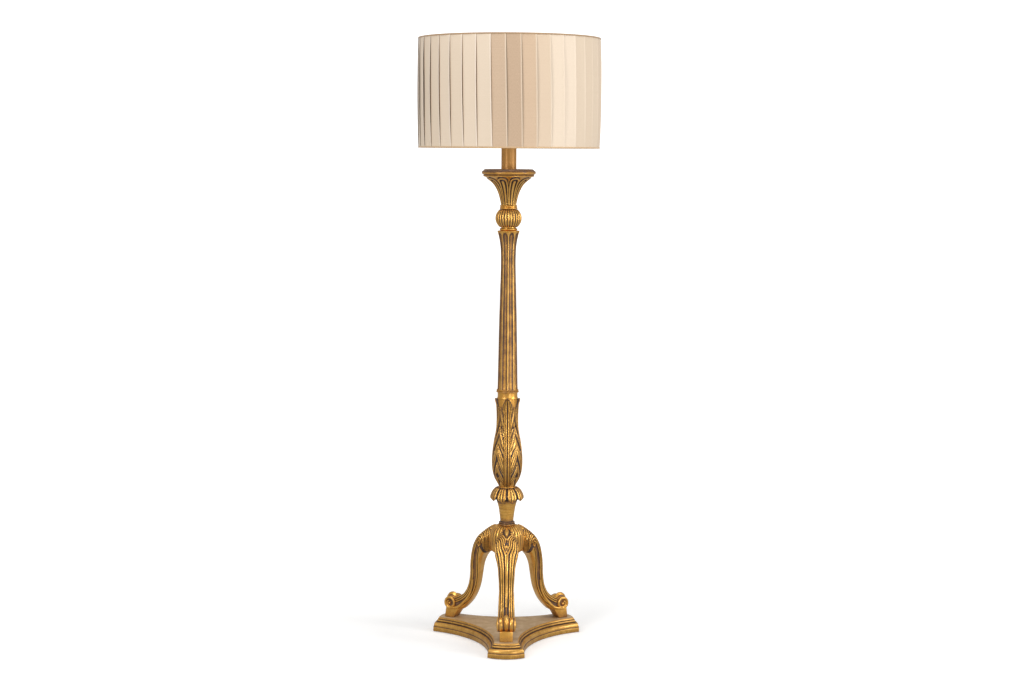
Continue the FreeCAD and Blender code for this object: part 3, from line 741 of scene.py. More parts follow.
def leg_carving(points, arc, half, length):
    """Reeds run up the face, part in nested Vs and bend over a curl on each shoulder."""
    # Place across the leg: 0 at the centre line, FACE at the edge of the face.
    low_place = np.where(arc < half, FACE * arc / half, FACE + arc - half)
    parting = 1 - ramp(length, CURL_ROW, CURL_ROW + 36)
    place = low_place * (1 - parting) + (arc - PARTING) * parting
    # Above the curl's row the same reeds lie round its eye.
    from_eye = np.hypot(arc - CURL_ARC, CURL_ROW - length)
    place = np.where(length < CURL_ROW, CURL_ARC - PARTING - from_eye, place)
    carving = reeded(place, LEG_REEDS)
    # Below the knee the middle reed is one round rib.
    rib = arched(low_place / HALF_RIB)
    below = (low_place < HALF_RIB) & (length > CURL_ROW + 32)
    carving = patched(carving, below, -1 + 1.9 * rib, 0.06 + groove_dark(rib, 0.30, 0.80))
    # Ridges from the crown run on over the leg's root, behind a dark line.
    ridge = hump(np.degrees(np.arctan2(points[..., 1], points[..., 0])) / RIDGE_PITCH)
    root = place < LEG_REEDS[0][0]
    carving = patched(carving, root, -1.6 + 2.2 * ridge, 0.06 + groove_dark(ridge, 0.35, 0.85))
    carving = patched(carving, root & (place > LEG_REEDS[0][0] - 1.8), carving[0], 0.9)
    # Dark hollow behind the curl, against the crown.
    behind = (arc > CURL_ARC + 2) & (np.abs(length - CURL_ROW + 3) < 9) & (from_eye > 7)
    carving = patched(carving, behind, -1.6, 0.80)
    # The eye: a bead in a dark hollow, and a gold ring round it.
    for reach, level, tone in CURL_RINGS:
        carving = patched(carving, from_eye < reach, level, tone)
    # A pointed bud between the two curls, with a dark hollow each side.
    bud = np.interp(length, (5, 11, 20, 31, 44), (1, 4.6, 6.8, 4.8, 0.4))
    hollow = np.interp(length, (3, 10, 20, 32, 46), (2, 8, 12, 9.5, 1.5))
    carving = patched(carving, (length < 46) & (arc < hollow), -2.4, 0.95)
    swell = arched(arc / np.maximum(bud, 0.1))
    on_bud = (length > 4) & (length < 44) & (arc < bud)
    carving = patched(carving, on_bud, -1.6 + 3.8 * swell, 0.5 - 0.5 * swell)
    # Near the foot the middle reed narrows to a tongue between two flutes.
    end = length[-1, 0]
    tongue = ramp(length, end - 95, end - 60)
    level, tone = (was * (1 - tongue) for was in carving)
    beside = (arc > 2.6) & (arc < 7.4)
    height, patina = patched(carving, beside, level - 2.2 * tongue, tone + 0.92 * tongue)
    return height * ramp(length, 0, 3) * (1 - ramp(length, end - 16, end - 4)), patina


def leg_blade():
    points, normal, arc, half, length = leg_form()
    height, patina = leg_carving(points, arc, half, length)
    return laid_round("blade", points + normal * height[..., None], patina)


# Middle of the foot's scroll, as (distance from the axis, height), and its lead-in.
SCROLL = (173.5, 84)
SCROLL_LEAD = (
    (99.5, 160), (103.5, 135), (113, 112), (128, 92.5), (144, 77.5), (158, 70.2),
)
SCROLL_STEPS = 170


def volute(side):
    """Band that leaves the leg's side, runs under the foot and winds in to its eye."""
    turns = np.linspace(-90, 455, 110)
    reach = np.interp(
        turns, (-90, 0, 90, 180, 270, 360, 455), (15.2, 15.6, 15.4, 13.6, 11, 8.4, 5.8)
    )
    turn = np.radians(turns)
    spiral = np.column_stack([SCROLL[0] + reach * np.cos(turn), SCROLL[1] + reach * np.sin(turn)])
    route = eased(np.vstack([eased(SCROLL_LEAD, 44)[::4], spiral[::5]]), SCROLL_STEPS)
    down = np.linspace(0, 1, SCROLL_STEPS)
    thick = np.interp(down, (0, 0.18, 0.36, 0.7, 1), (3, 6.4, 8.8, 8, 6.2))[:, None]
    cheek = np.interp(down, (0, 0.1, 0.36, 0.6, 1), (20.4, 21.6, 24, 25.4, 27.2))[:, None]
    out = square_to(unit_steps(route))
    round_it = np.linspace(0, 2 * math.pi, 28, endpoint=False)
    bulge = np.sign(np.cos(round_it)) * np.abs(np.cos(round_it)) ** 0.75
    wide = np.sign(np.sin(round_it)) * np.abs(np.sin(round_it)) ** 0.75
    inner = 9
    x = route[:, :1] + out[:, :1] * thick / 2 * bulge
    z = route[:, 1:] + out[:, 1:] * thick / 2 * bulge
    y = side * ((cheek + inner) / 2 + (cheek - inner) / 2 * wide) + 0 * x
    # The flat of the band is bright, both its edges are dark.
    edge = ramp(np.abs(bulge), 0.84, 1) * (wide > 0.3)
    patina = 0.06 + 0.7 * edge[None, :] + 0 * x
    return laid_round("volute", np.stack([x, y, z], axis=-1), patina)


def ball(name, centre, radii, patina, segments=40, rings=24):
    put_down()
    bpy.ops.mesh.primitive_uv_sphere_add(
        segments=segments, ring_count=rings, radius=1,
        location=[c * MM for c in centre], scale=[r * MM for r in radii],
    )
    piece = settle(named(name))
    smooth(piece)
    darken(piece, patina)
    return piece


def scroll_core():
    """Drum behind both volutes, and the egg between them."""
    put_down()
    bpy.ops.mesh.primitive_cylinder_add(
        vertices=64, radius=17.8 * MM, depth=44 * MM,
        location=(SCROLL[0] * MM, 0, SCROLL[1] * MM), rotation=(math.pi / 2, 0, 0),
    )
    drum = settle(named("drum"))
    smooth(drum)
    darken(drum, 0.6)
    egg = ball("egg", (SCROLL[0] + 3.4, 0, SCROLL[1] + 5), (20.2, 9.4, 22.4), 0.12)
    darken(egg, 0.08 + 0.87 * ramp(np.abs(places(egg)[:, 1]), 5.6, 8))
    eyes = [
        ball("eye", (SCROLL[0], side * 23.8, SCROLL[1]), (3.6, 4.8, 3.6), 0.05, 24, 16)
        for side in (-1, 1)
    ]
    return [drum, egg, *eyes]


def foot_block():
    """Block under the scroll whose rear face slopes up into the leg."""
    put_down()
    bpy.ops.mesh.primitive_cube_add(
        size=1, location=(180 * MM, 0, 54 * MM), scale=(28 * MM, 36 * MM, 28 * MM)
    )
    block = settle(named("block"))
    pick_facing(block, 1)
    middle = (180 * MM, 0, 68 * MM)
    bpy.ops.transform.resize(value=(42 / 28, 1, 1), center_override=middle)
    bpy.ops.transform.translate(value=(-11 * MM, 0, 0))
    close_mesh()
    finish_with(block, "BEVEL", width=1.8 * MM, segments=4)
    smooth(block)
    darken(block, 0.12 + 0.6 * (1 - ramp(places(block)[:, 2], 40, 43)))
    return block


def legs():
    leg = join("leg", [leg_blade(), volute(1), volute(-1), *scroll_core(), foot_block()])
    for node, degrees in LEG_TURNS.items():
        carved = turned_about(copy_of(leg, node + "_carved"), degrees)
        fitted(carved, carved_gold, node)
    bpy.data.objects.remove(leg)


def hub():
    """Crown between the legs, cut in ridges that fan out from the collar."""
    line = eased(
        ((20, 326.4), (27, 326), (35, 322), (43, 314.5), (47.8, 303), (49, 288),
         (48.5, 270), (45, 256), (34, 246.5)), 96,
    )[::-1]
    ridge = hump(all_round(360) / RIDGE_PITCH)
    height = (ridge - 1) * (2.6 * ramp(line[:, 1:], 262, 285))
    patina = 0.10 + groove_dark(ridge, 0.35, 0.85) * ramp(line[:, 1:], 255, 285)
    fitted(carved_turning("hub_crown", line, height, patina), carved_gold, "leg_hub")


# ---- Stem
def rounded(radius, low, high, steps=6):
    """(radius, z) steps of a half-round ring between two heights."""
    half = (high - low) / 2
    turns = np.linspace(-math.pi / 2, math.pi / 2, 2 * steps + 1)
    return [(radius - half + half * math.cos(a), low + half + half * math.sin(a)) for a in turns]


def vase():
    profile = [(20, 326), *rounded(23.7, 326.3, 331.5), *rounded(22.6, 331.7, 336.4, 4)]
    curve = eased(
        ((18.7, 337.2), (19.3, 346), (20.7, 357), (22.3, 369), (24.3, 380), (27.2, 390.5),
         (29.8, 398.6)), 22,
    )
    piece = turned("vase", profile + [tuple(p) for p in curve] + [(24, 399)], 96)
    z = places(piece)[:, 2]
    value = 0.12 + 0.45 * bell(z, 337, 1.6) + 0.7 * bell(z, 331.6, 0.8)
    value += 0.5 * ramp(z, 387, 398) + 0.30 * (1 - ramp(z, 337, 356))
    value += 0.4 * (1 - ramp(z, 326, 327.5))
    darken(piece, clipped(value))
    fitted(piece, smooth_gold, "vase_stem")


def petal():
    """One drooping petal with three ribs, hollows between them and a rolled tip."""
    middle = eased(
        ((24, 434.5), (30.5, 432.4), (37, 427), (42, 419.5), (45.6, 411.5), (46.7, 405.5),
         (45.6, 401), (43.2, 398.6)), 34,
    )
    down = np.linspace(0, 1, 34)
    half = np.interp(down, (0, 0.3, 0.6, 0.8, 0.92, 1), (7.4, 10.6, 13.6, 13.8, 11, 4))
    u = np.linspace(-1, 1, 43)
    normal = -square_to(unit_steps(middle))
    ridge = hump(u * 1.5 + 0.5)[None, :]
    rib = 2.6 * (ridge - 1) * np.interp(down, (0, 0.2, 0.9, 1), (0.6, 1, 1, 0.3))[:, None]
    lift = rib + 1.2 - 2.6 * (u**2)[None, :] * np.interp(down, (0, 0.5, 1), (0.3, 1, 1.2))[:, None]
    x = middle[:, :1] + normal[:, :1] * lift
    z = middle[:, 1:] + normal[:, 1:] * lift
    points = np.stack([x, half[:, None] * u[None, :], z], axis=-1)
    patina = 0.06 + 0.9 * (1 - ramp(ridge, 0.45, 0.9)) + 0 * x
    patina = np.maximum(patina, 0.6 * (1 - ramp(down, 0.02, 0.3))[:, None])
    piece = laid_round("petal", points, patina, ends=False, seam=False)
    outward(piece)
    finish_with(piece, "SOLIDIFY", thickness=2.6 * MM, offset=-1)
    outward(piece)
    smooth(piece, 60)
    return piece


def petal_collar():
    first = petal()
    petals = [turned_about(copy_of(first, f"petal_{k}"), -70 + 40 * k) for k in range(9)]
    bpy.data.objects.remove(first)
    cone = [(28, 399.5), (37, 402), (40, 410), (36.5, 420), (30, 428.5), (22.5, 432)]
    core = turned("core", cone, 72, 0.95)
    ring = turned("ring", [(20, 431.5), *rounded(24.2, 432.4, 437)], 72, 0.12)
    piece = join("petal_collar_carved", [core, ring, *petals])
    fitted(piece, carved_gold, "petal_collar")


# Radius over the leaves' ribs at each height.
BALUSTER_LINE = (
    (23, 437), (24.6, 442), (29.7, 451), (34.6, 460), (39.2, 474), (41.6, 488),
    (42.6, 502), (42.5, 519), (41.5, 533), (39.6, 550), (36.4, 571), (33, 588),
    (31, 602), (30.2, 620), (30.2, 641), (31.2, 660), (32.4, 673), (33.4, 681),
    (32.6, 687), (28.6, 690.5), (27.8, 694), (27.8, 703),
)
# Ribs of the leaf's stem, as shares of its half width.
STEM_RIBS = (
    (-0.13, 0.13, -1.5, 0.66),
    (0.13, 0.54, 0.9, 0.08),
    (0.54, 0.62, -0.6, 0.85),
    (0.62, 0.90, 0.6, 0.12),
    (0.90, 1, -0.9, 0.92),
)
# Side lobes of a leaf: route as (distance from the midrib, height), half widths along it
# and number of ribs.
LOBES = (
    (((5, 441), (12, 452), (21, 465), (28.5, 481), (32, 499)),
     (3, 6.5, 8.5, 7, 1.6), 3),
    (((6, 476), (13, 497), (20, 517), (26, 537), (29.5, 558)),
     (4, 9, 11, 8.5, 1.6), 3),
    (((6, 536), (11, 553), (16.5, 571), (21, 589), (23, 606)),
     (3, 5.6, 6.8, 5.4, 1.4), 2),
    (((6, 586), (10.5, 606), (15.5, 626), (19.5, 645), (21, 662)),
     (3, 5.4, 6.4, 5, 1.4), 2),
)
# Dark drilled eyes between the lobes: distance, height, lean, half length, half width.
EYES = ((28.5, 472, 58, 11, 3.4), (18, 607, 75, 5, 2.8))


def acanthus():
    """Four leaves: a ribbed stem, four lobes each side and a pointed tip that turns out."""
    line = eased(BALUSTER_LINE, 250)
    radius, z = line[:, :1], line[:, 1:]
    aside = np.abs((all_round(340) + 90 + 45) % 90 - 45)
    arc = np.radians(aside) * radius
    up = z + 0 * arc
    ground = np.interp(z, (437, 455, 560, 600, 641, 672), (2, 3.6, 3.6, 3, 2.6, 4.6))
    ground = np.where(z > 655, np.maximum(radius - 27.8, 0), ground)
    carving = -ground + 0 * arc, np.where(z > 660, 0.22, 0.05) + 0 * arc
    for route, widths, ribs in LOBES:
        reach, share = feather(arc, up, route, widths)
        ridge = hump(share * ribs / 2 + 0.5)
        lobe = -3.2 + clipped(1 - reach**2) ** 0.35 * (1.7 + 1.6 * ridge)
        dark = 0.04 + 0.9 * ramp(reach, 0.72, 0.93) + groove_dark(ridge, 0.42, 0.90)
        carving = patched(carving, (reach < 1) & (lobe > carving[0]), lobe, dark)
        beside = (reach > 1) & (reach < 1.32) & (carving[0] < -2.3)
        carving = patched(carving, beside, carving[0], 0.95)
    # The stem: a cut line, a broad rib, a fine line and a narrow rib each side.
    blade = np.interp(
        z, (437, 450, 480, 520, 560, 600, 640, 658, 668, 676, 683, 687.5),
        (10, 10.5, 11.5, 11.5, 10.5, 10.5, 11.5, 13.5, 12.8, 9, 4.4, 0),
    )
    share = arc / np.maximum(blade, 0.05)
    stem, stem_dark = reeded(share, STEM_RIBS)
    curl = 1.6 * ramp(z, 668, 683)
    carving = patched(carving, (share < 1) & (z < 687.5), stem - 0.4 + curl, stem_dark)
    outline = (arc > blade) & (arc < blade + 2.8) & (z > 655) & (z < 690)
    carving = patched(carving, outline, carving[0], 0.95)
    for away, level, lean, long, wide in EYES:
        turn = math.radians(lean)
        forth = (arc - away) * math.cos(turn) + (z - level) * math.sin(turn)
        cross = -(arc - away) * math.sin(turn) + (z - level) * math.cos(turn)
        hole = clipped(1 - np.hypot(forth / long, cross / wide) ** 2)
        deep = np.minimum(carving[0], -2.2) - 3 * np.sqrt(hole)
        carving = patched(carving, hole > 0, deep, 0.97)
    height, patina = carving
    piece = carved_turning("acanthus_carved", line, height, clipped(patina))
    fitted(piece, carved_gold, "acanthus_baluster")


# Nine reeds round the column and nine leaves round the capital.
NINTH = 40
# Half a reed and half a flute, as shares of the pitch between reeds.
HALF_REED = 0.115
HALF_FLUTE = 0.385
COLUMN_LINE = (
    (28.9, 711), (28.2, 722), (27.7, 745), (27.2, 776), (26.6, 804), (25.8, 850),
    (25.1, 884), (24.4, 920), (23.2, 955), (22.3, 995), (21.4, 1035), (20.9, 1060),
    (21.1, 1085), (22.2, 1108), (24.6, 1126), (27.8, 1141), (30.6, 1150), (31.2, 1152.6),
)


def column():
    """Nine reeds with round-headed flutes between them, on a double ring."""
    line = eased(COLUMN_LINE, 150)
    z = line[:, 1:]
    from_reed = np.abs(((all_round(360) + 90) / NINTH + 0.5) % 1 - 0.5)
    arch = np.hypot((0.5 - from_reed) / HALF_FLUTE, np.clip(z - 1135, 0, None) / 13)
    depth = np.interp(z, (711, 760, 1060, 1131, 1150), (2.2, 2.8, 2.4, 2.8, 3))
    hollow = depth * clipped(1 - arch**2) ** 0.42
    # A thin raised line runs down the middle of every flute.
    vein = 0.6 * bell(from_reed, 0.5, 0.04) * (arch < 0.9)
    height = 0.75 * arched(from_reed / HALF_REED) - hollow + vein - 0.75
    # Lighter worn streaks lie in the flutes, away from their dark edges.
    dark = np.interp(z, (711, 800, 900, 1153), (0.34, 0.40, 0.46, 0.46))
    patina = np.where(arch < 0.97, dark + 0 * arch, 0)
    patina = patina + 0.38 * bell(arch, 0.72, 0.16) * (arch < 1)
    patina = np.maximum(patina, 0.95 * bell(arch, 0.99, 0.07))
    patina = np.where(vein > 0.25, patina - 0.22, patina)
    head = ramp(z, 1147, 1152)
    patina = clipped(patina * (1 - head) + 0.25 * head)
    shaft = carved_turning("shaft", line, height, patina)
    foot = [(26, 702.9), *rounded(31.6, 703, 706.6, 4), (28, 706.8), (28, 707.2),
            *rounded(30.9, 707.2, 711, 4), (26, 711.2)]
    neck = [(30.2, 1152), (29.5, 1153.6), (22, 1154.6), *rounded(25, 1155, 1160.4),
            (20.5, 1161.4), (20.5, 1163.2)]
    rings = [turned("foot_ring", foot, 96, 0.3), turned("neck_ring", neck, 96, 0.12)]
    fitted(join("column_carved", [shaft, *rings]), carved_gold, "reeded_column")


GADROONS = 27


def knop():
    """Ball of gadroons; each ends in a point at both poles."""
    middle, half, radius = 1188, 25, 36.6
    half_axis = half / math.sqrt(1 - (24 / radius) ** 2)
    end = math.asin(half / half_axis)
    rise = np.linspace(-end, end, 64)
    line = np.column_stack([radius * np.cos(rise), middle + half_axis * np.sin(rise)])
    lobe = np.abs(np.cos(np.pi * (all_round(378) + 90) / (360 / GADROONS))) ** 0.75
    height = (lobe - 1) * 3 * np.cos(rise)[:, None]
    poles = ramp(np.abs(rise), 0.62, 1)[:, None]
    patina = np.clip(0.92 * (1 - ramp(lobe, 0.30, 0.86)) + 0.5 * poles, 0, 1)
    piece = carved_turning("knop_carved", line, height, patina)
    fitted(piece, carved_gold, "gadrooned_knop")


CAPITAL_LINE = (
    (21.4, 1225), (21.6, 1229), (22.4, 1233.5), (24, 1241), (26.6, 1251), (29.6, 1260),
    (33.6, 1269), (38, 1277), (43.4, 1284), (50.2, 1290.3), (57, 1295.3), (63.4, 1299),
    (67.2, 1301.2),
)
# Across a capital leaf, as shares of its half width: from, to, height, patina.
CAPITAL_CUTS = (
    (-0.32, 0.32, 0.9, 0.04),
    (0.32, 0.62, -2, 0.78),
    (0.62, 1, 0.9, 0.02),
)


def capital():
    """Nine round-topped leaves, each with a rim, a dark cut and an inner rib."""
    line = eased(CAPITAL_LINE, 130)
    along = np.linspace(0, 1, 130)[:, None]
    part = ((all_round(450) + 90) / NINTH) % 1 - 0.5
    half = np.interp(along, (0, 0.5, 0.75, 1), (0.485, 0.47, 0.40, 0.38))
    edge = np.hypot(part / half, np.clip(along - 0.74, 0, None) / 0.20)
    beyond = -2.6 + 1.4 * ramp(edge, 1.02, 1.4), np.where(edge < 1.12, 0.92, 0.04)
    height, patina = patched(reeded(edge, CAPITAL_CUTS), edge > 1, *beyond)
    scale = np.clip(line[:, :1] / 34, 0.6, 1.15)
    trumpet = carved_turning("trumpet", line, height * scale, patina)
    rings = [(20, 1213), *rounded(25, 1213.4, 1218.6), (22.4, 1219.2),
             *rounded(24.4, 1219.4, 1224), (20, 1225.2)]
    piece = join("capital_carved", [trumpet, turned("capital_ring", rings, 96, 0.14)])
    fitted(piece, carved_gold, "leaf_capital")


def pan():
    """Moulded drip pan with a dished floor round the candle."""
    profile = [
        (60, 1301.6), (68.4, 1302.2), (70.6, 1303.4), (71, 1305), (69.6, 1306.6),
        (70.2, 1308), (73, 1309.6), (74.4, 1311.2), (74.7, 1312.6), (74.6, 1315),
        (73.6, 1317.4), (71.6, 1318.4), (69.2, 1320.6), (67.2, 1322.6), (65.8, 1323),
        (62, 1323), (59.5, 1321.6), (56, 1320.3), (20, 1320),
    ]
    piece = turned("pan", profile, 144)
    x, y, z = places(piece).T
    value = np.interp(
        z, (1301.6, 1303.4, 1305, 1306.6, 1308, 1309.6, 1311.2, 1312.6, 1315, 1317.4, 1323),
        (0.30, 0.02, 0.10, 0.60, 0.55, 0.28, 0, 0.20, 0.40, 0.64, 0.60),
    )
    darken(piece, np.where(np.hypot(x, y) < 64, 0.5, value))
    fitted(piece, carved_gold, "drip_pan")


def candle():
    profile = [(20.6, 1320), (21, 1320.6), (21, 1445.4), (20.6, 1446)]
    sleeve = turned("candle_sleeve", profile)
    bored(sleeve, 20, 1319, 1447, 96)
    fitted(sleeve, amber_sleeve, "candle_tube")


# ---- Lampholder and bulb
def lampholder():
    profile = [(8, 1426), (16.5, 1431.5), (18, 1433.5), (18, 1446), (23.4, 1446),
               (24, 1446.6), (24, 1448.4), (23.4, 1449), (19.4, 1449)]
    # The outer thread that the clamp ring runs on.
    for k in range(10):
        z = 1450 + 3.2 * k
        profile += [(18.9, z), (19.6, z + 1.1), (19.6, z + 1.7), (18.9, z + 2.8)]
    body = turned("lampholder", profile + [(19.4, 1485), (18.8, 1486)], 72)
    bored(body, 14.1, 1454, 1490)
    fitted(body, ivory, "lampholder_body")


def bulb():
    head = [(12.5, 1487), (13.2, 1491), (15.4, 1499.5), (19.2, 1510)]
    for degrees in range(-42, 91, 6):
        turn = math.radians(degrees)
        head.append((max(0.3, 30 * math.cos(turn)), 1542 + 29.5 * math.sin(turn)))
    fitted(turned("bulb_pearl", head, 72), pearl, "bulb_glass", "bulb")
    cap = [(8.5, 1462), (12.2, 1465.4)]
    for k in range(6):
        z = 1466 + 3 * k
        cap += [(12.4, z), (13.2, z + 1), (13.2, z + 1.6), (12.4, z + 2.6)]
    cap += [(12.9, 1484.4), (12.9, 1487)]
    fitted(turned("bulb_screw_cap", cap, 72), cap_metal, "bulb_cap", "bulb")


def clamp_ring():
    """Moulded ring with finger ribs."""
    line = np.array([(25.6, 1452.1), (26.7, 1453), (27, 1454), (27, 1458),
                     (26.7, 1459.2), (25.6, 1459.9)])
    height = -0.8 + 0.8 * hump(all_round(240) / 15) + 0 * line[:, :1]
    ring = carved_turning("clamp_ring", line, height, 0 * height)
    bored(ring, 19.8, 1451, 1461, 96)
    fitted(ring, ivory, "shade_ring_nut", "ring_nut")


# ---- Shade
def ring_of_wire(name, z):
    put_down()
    bpy.ops.mesh.primitive_torus_add(
        major_segments=144, minor_segments=14, major_radius=245.1 * MM, minor_radius=1.6 * MM,
        location=(0, 0, z * MM),
    )
    ring = settle(named(name))
    smooth(ring)
    return ring


def carrier():
    """Pressed hub ring, three bent wires and the lower ring; the upper ring is loose."""
    hub_ring = [(24.6, 1449.4), (25, 1449.7), (25, 1451.3), (24.6, 1451.6)]
    disc = turned("carrier_disc", hub_ring, 72)
    bored(disc, 20.1, 1449, 1452, 72)
    parts = [disc, ring_of_wire("lower_ring", 1382.6)]
    route = eased(((23, 1450.5), (34, 1450), (60, 1441), (150, 1410.5),
                   (225, 1385), (245, 1382.6)), 40)
    normal = -square_to(unit_steps(route))
    round_it = np.linspace(0, 2 * math.pi, 12, endpoint=False)
    x = route[:, :1] + 1.5 * normal[:, :1] * np.cos(round_it)
    z = route[:, 1:] + 1.5 * normal[:, 1:] * np.cos(round_it)
    y = 1.5 * np.sin(round_it)[None, :] + 0 * x
    for turn in LEG_TURNS.values():
        wire = laid_round("wire", np.stack([x, y, z], axis=-1), 0 * x)
        parts.append(turned_about(wire, turn))
    fitted(join("carrier_wires", parts), white_wire, "shade_carrier", "shade")
    top = ring_of_wire("upper_ring", 1677.4)
    fitted(top, white_wire, "shade_top_ring", "shade")


def drum(name, inner, outer, low, high, material, slot, node):
    """Thin round wall with slightly eased edges."""
    wall = (outer - inner) / 2
    profile = [(outer - wall, low), (outer, low + 0.4), (outer, high - 0.4), (outer - wall, high)]
    piece = turned(name, profile, 156)
    bored(piece, inner, low - 5, high + 5, 156)
    fitted(piece, material, node, "shade")


PLEATS = 39
PLEAT_ROWS = 46
CLOTH_RADIUS = 248.8
# Across one pleat: share of the pitch, lift (1 at the free edge), and painted light: a painted
# highlight on the free edge, painted shade where the cloth folds back under.
PLEAT_SECTION = tuple(
    (u, 0.02 + 0.06 * math.sin(math.pi * u) + 0.90 * u**2.6, 0)
    for u in np.linspace(0.03, 0.90, 12)
) + (
    (0.925, 0.84, 0.10), (0.95, 0.93, 0.20), (0.975, 1, 0.26), (0.995, 0.97, 0.16),
    (1, 0.88, -0.06), (0.985, 0.80, -0.36), (0.92, 0.60, -0.44), (0.82, 0.34, -0.48),
    (0.74, 0.06, -0.50), (0.76, -0.04, -0.50), (0.86, -0.02, -0.48), (0.96, 0, -0.42),
    (1.005, 0.015, -0.24),
)
# Painted light and shade on the panels that differ, counted to the right from the front: darker
# tan on the front panels, lighter cream just right of them.
PANEL_PAINTED_LIGHT = {
    38: 0.41, 0: 0.37, 1: 0.40, 2: 0.55, 3: 0.66, 4: 0.69, 5: 0.62, 6: 0.58, 7: 0.59, 8: 0.58,
}


def pleated_cover():
    """Knife pleats: a soft panel, a raised free edge, and the cloth folded back under it.

    With the piece come its grid, and for each column its tone, carrying painted light and shade,
    and how far along the cloth.
    """
    rows = np.linspace(0, 1, PLEAT_ROWS)
    swell = np.sin(np.pi * rows) ** 0.6
    z = SHADE_LOW + 1.2 + rows * (SHADE_HIGH - SHADE_LOW - 2.4)
    pitch = 360 / PLEATS
    chance = np.random.default_rng(39)
    columns, tones_and_painted_light = [], []
    for pleat in range(PLEATS):
        start = -90 + (pleat - 0.16) * pitch
        lift = np.interp(pleat, (0, 2, 11, 29, 32, 34), (5.6, 3.6, 3.6, 3, 4.6, 5.6))
        lift = lift * (0.82 + 0.36 * chance.random())
        # How strongly each pleat's free edge takes its painted highlight.
        edge = np.interp(pleat, (1, 3, 12, 16), (1, 0.25, 0.25, 1))
        slant = 1.25 + 0.5 * (chance.random() - 0.5)
        bow = 0.35 * (chance.random() - 0.5)
        # Each panel's painted light and shade, with a little tone that differs at random.
        tone = PANEL_PAINTED_LIGHT.get(pleat, 0.66) + 0.05 * (chance.random() - 0.5)
        wave = 0.5 * (chance.random() - 0.5)
        for share, height, painted_light in PLEAT_SECTION:
            degrees = start + pitch * share - slant * (rows - 0.5)
            turn = np.radians(degrees + bow * np.sin(np.pi * rows) * share)
            radius = CLOTH_RADIUS + 0.6 * swell + (0.8 + (lift - 0.8) * swell) * height
            radius = radius + wave * np.sin(3 * np.pi * rows) * swell * share
            columns.append(np.stack([radius * np.cos(turn), radius * np.sin(turn), z], axis=-1))
            # Painted highlight along the free edge, painted shade in the fold under it.
            tones_and_painted_light.append(tone + (painted_light * edge if painted_light > 0 else painted_light))
    points = np.stack(columns, axis=1)
    middle = points[PLEAT_ROWS // 2]
    travelled = np.cumsum(np.linalg.norm(np.diff(middle, axis=0), axis=1))
    lengths = np.concatenate([[0], travelled, travelled[-1:]])
    points = np.concatenate([points, points[:, :1]], axis=1)
    patina = 0 * points[..., 0]
    cover = laid_round("pleated_cover", points, patina, ends=False, seam=False)
    return cover, points, np.array(tones_and_painted_light + tones_and_painted_light[:1]), lengths


def cloth_map(cover, points, tones_and_painted_light, lengths):
    """Lays the cloth's own measures, in metres, on its corners, and each panel's tone with its
    painted light and shade.
    """
    rows, columns = points.shape[:2]
    tree = KDTree(rows * columns)
    for k, point in enumerate(points.reshape(-1, 3) * MM):
        tree.insert(point, k)
    tree.balance()
    found = np.array([tree.find(vertex.co)[1] for vertex in cover.data.vertices])
    row, column = np.divmod(found, columns)
    uv = np.column_stack([lengths[column] * MM, row / (rows - 1) * 0.3]).astype(np.float32)
    loops = np.empty(len(cover.data.loops), np.int32)
    cover.data.loops.foreach_get("vertex_index", loops)
    layer = cover.data.uv_layers.new(name="cloth")
    layer.uv.foreach_set("vector", uv[loops].ravel())
    darken(cover, tones_and_painted_light[column], "panel_tone_and_painted_light")


def shade():
    cover, points, tones_and_painted_light, lengths = pleated_cover()
    cloth_map(cover, points, tones_and_painted_light, lengths)
    smooth(cover, 70)
    fitted(cover, satin, "shade_cover", "shade")
    low, high, tape = SHADE_LOW, SHADE_HIGH, 4.2
    drum("lining", 246.9, 247.6, low + 1, high - 1, lining_card, "lining", "shade_lining")
    # The upper tape takes the darker finish: painted shade on the same tan binding.
    drum("upper_tape", 249.2, 250.2, high - tape, high,
         top_tape_in_painted_shade, "binding_brown", "shade_top_binding")
    drum("lower_tape", 249.2, 250.2, low, low + tape,
         bottom_tape, "binding_tan", "shade_bottom_binding")


# ---- Make the lamp
# Carried-over fittings keep their CAD form and take a finish.
DRESSED = (
    (felt, "felt_pads"),
    (zinc, "foot_screws", "lamp_rod", "rod_nuts", "rod_washers"),
    (beech, "leg_dowels"),
    (black_plastic, "cord_outlet_bush"),
    (bright_brass, "lampholder_contacts", "bulb_contact"),
)
for material, *nodes in DRESSED:
    for node in nodes:
        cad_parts[node].data.materials.clear()
        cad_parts[node].data.materials.append(material)

for make in (
    plinth_slab, plinth_moulded_board, legs, hub, vase, petal_collar, acanthus, column, knop,
    capital, pan, candle, lampholder, bulb, clamp_ring, carrier, shade,
):
    make()


# ---- Studio
FLOOR_GLOW = 0.7
# The camera was solved from the shade's two rings and the plinth's corners.
LENS = 63.74
EYE = (0, -5.025, 1.3712)
TIP = 6.246


def softbox(name, place, aim, size, power):
    light = bpy.data.lights.new(name, "AREA")
    light.shape = "RECTANGLE"
    light.size, light.size_y = size
    light.energy = power
    lamp = bpy.data.objects.new(name, light)
    bpy.context.scene.collection.objects.link(lamp)
    lamp.location = place
    lamp.rotation_euler = (Vector(aim) - Vector(place)).to_track_quat("-Z", "Y").to_euler()


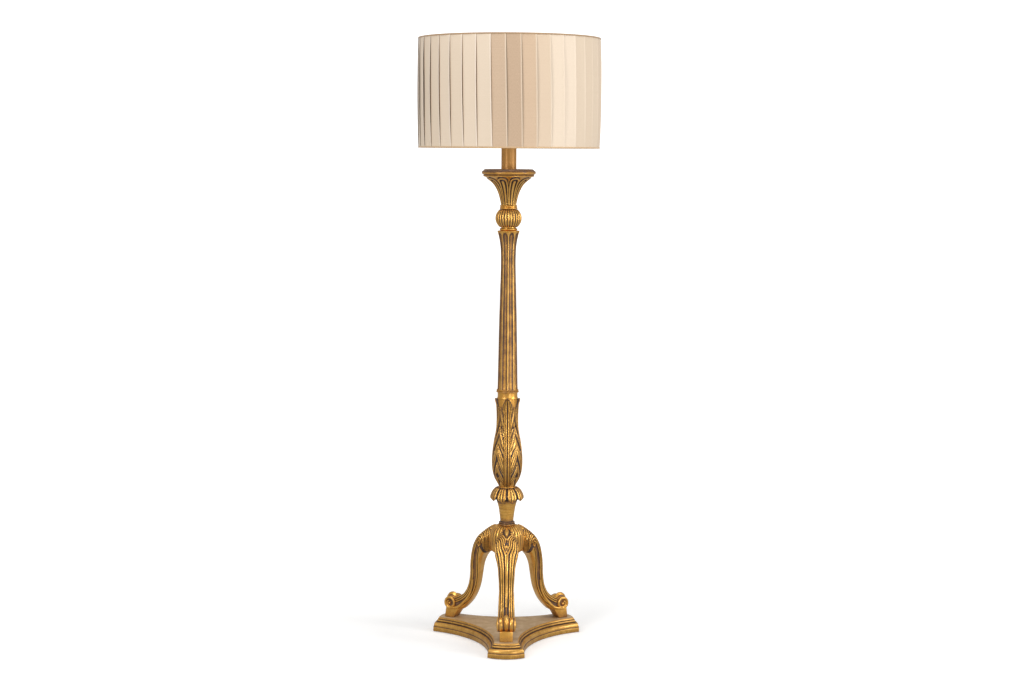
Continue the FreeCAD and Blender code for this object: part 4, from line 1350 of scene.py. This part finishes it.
def background(piece, name, glow):
    """White paper that the lamp is seen against, but is not lit by."""
    paint, add, link = sheet_of_nodes(name, {
        "Base Color": (0.86, 0.86, 0.86, 1), "Roughness": 0.9, "Specular IOR Level": 0.1,
        "Emission Color": (1, 1, 1, 1), "Emission Strength": glow,
    })
    piece.data.materials.append(paint)
    piece.visible_diffuse = piece.visible_glossy = piece.visible_transmission = False
    return add, link


def studio():
    """White sweep under and behind the lamp, and softboxes round it."""
    put_down()
    bpy.ops.mesh.primitive_circle_add(vertices=96, radius=14, fill_type="NGON")
    add, link = background(settle(named("floor")), "white_floor", FLOOR_GLOW)
    # Less glow near the lamp lets its shadow show.
    place = add("ShaderNodeTexCoord").outputs["Object"]
    away = add("ShaderNodeVectorMath", {0: place}, operation="LENGTH").outputs["Value"]
    link(number(add, away, 0.20, FLOOR_GLOW, 0.35, 1.6), "Emission Strength")
    put_down()
    bpy.ops.mesh.primitive_uv_sphere_add(segments=64, ring_count=32, radius=13.9)
    dome = settle(named("white_dome"))
    background(dome, "white_paper", 1)
    dome.visible_shadow = False

    world = bpy.data.worlds.new("studio")
    bpy.context.scene.world = world
    world.use_nodes = True
    sky = world.node_tree.nodes["Background"]
    sky.inputs["Color"].default_value = (1, 0.99, 0.97, 1)
    sky.inputs["Strength"].default_value = 0.46
    softbox("front_left", (-2.2, -3, 2.2), (0, 0, 0.9), (0.7, 2.6), 62)
    softbox("right_side", (3.2, -1.2, 1.8), (0, 0, 0.9), (0.7, 2.8), 55)
    softbox("overhead", (0, -0.8, 4), (0, 0, 0.6), (2.2, 2.2), 44)
    softbox("low_front", (1.5, -2.6, 0.5), (0, 0, 0.3), (0.7, 0.6), 16)


def camera():
    """Stands 5 m in front at eye height, tipped down a little."""
    data = bpy.data.cameras.new("camera")
    data.sensor_width = 36
    data.lens = LENS
    eye = bpy.data.objects.new("camera", data)
    bpy.context.scene.collection.objects.link(eye)
    eye.location = EYE
    turn = (
        Matrix.Rotation(-0.00233, 3, "Z")
        @ Matrix.Rotation(math.radians(90 - TIP), 3, "X")
        @ Matrix.Rotation(0.006, 3, "Z")
    )
    eye.rotation_euler = turn.to_euler()
    bpy.context.scene.camera = eye


studio()
camera()
bpy.context.scene.view_settings.view_transform = "Standard"
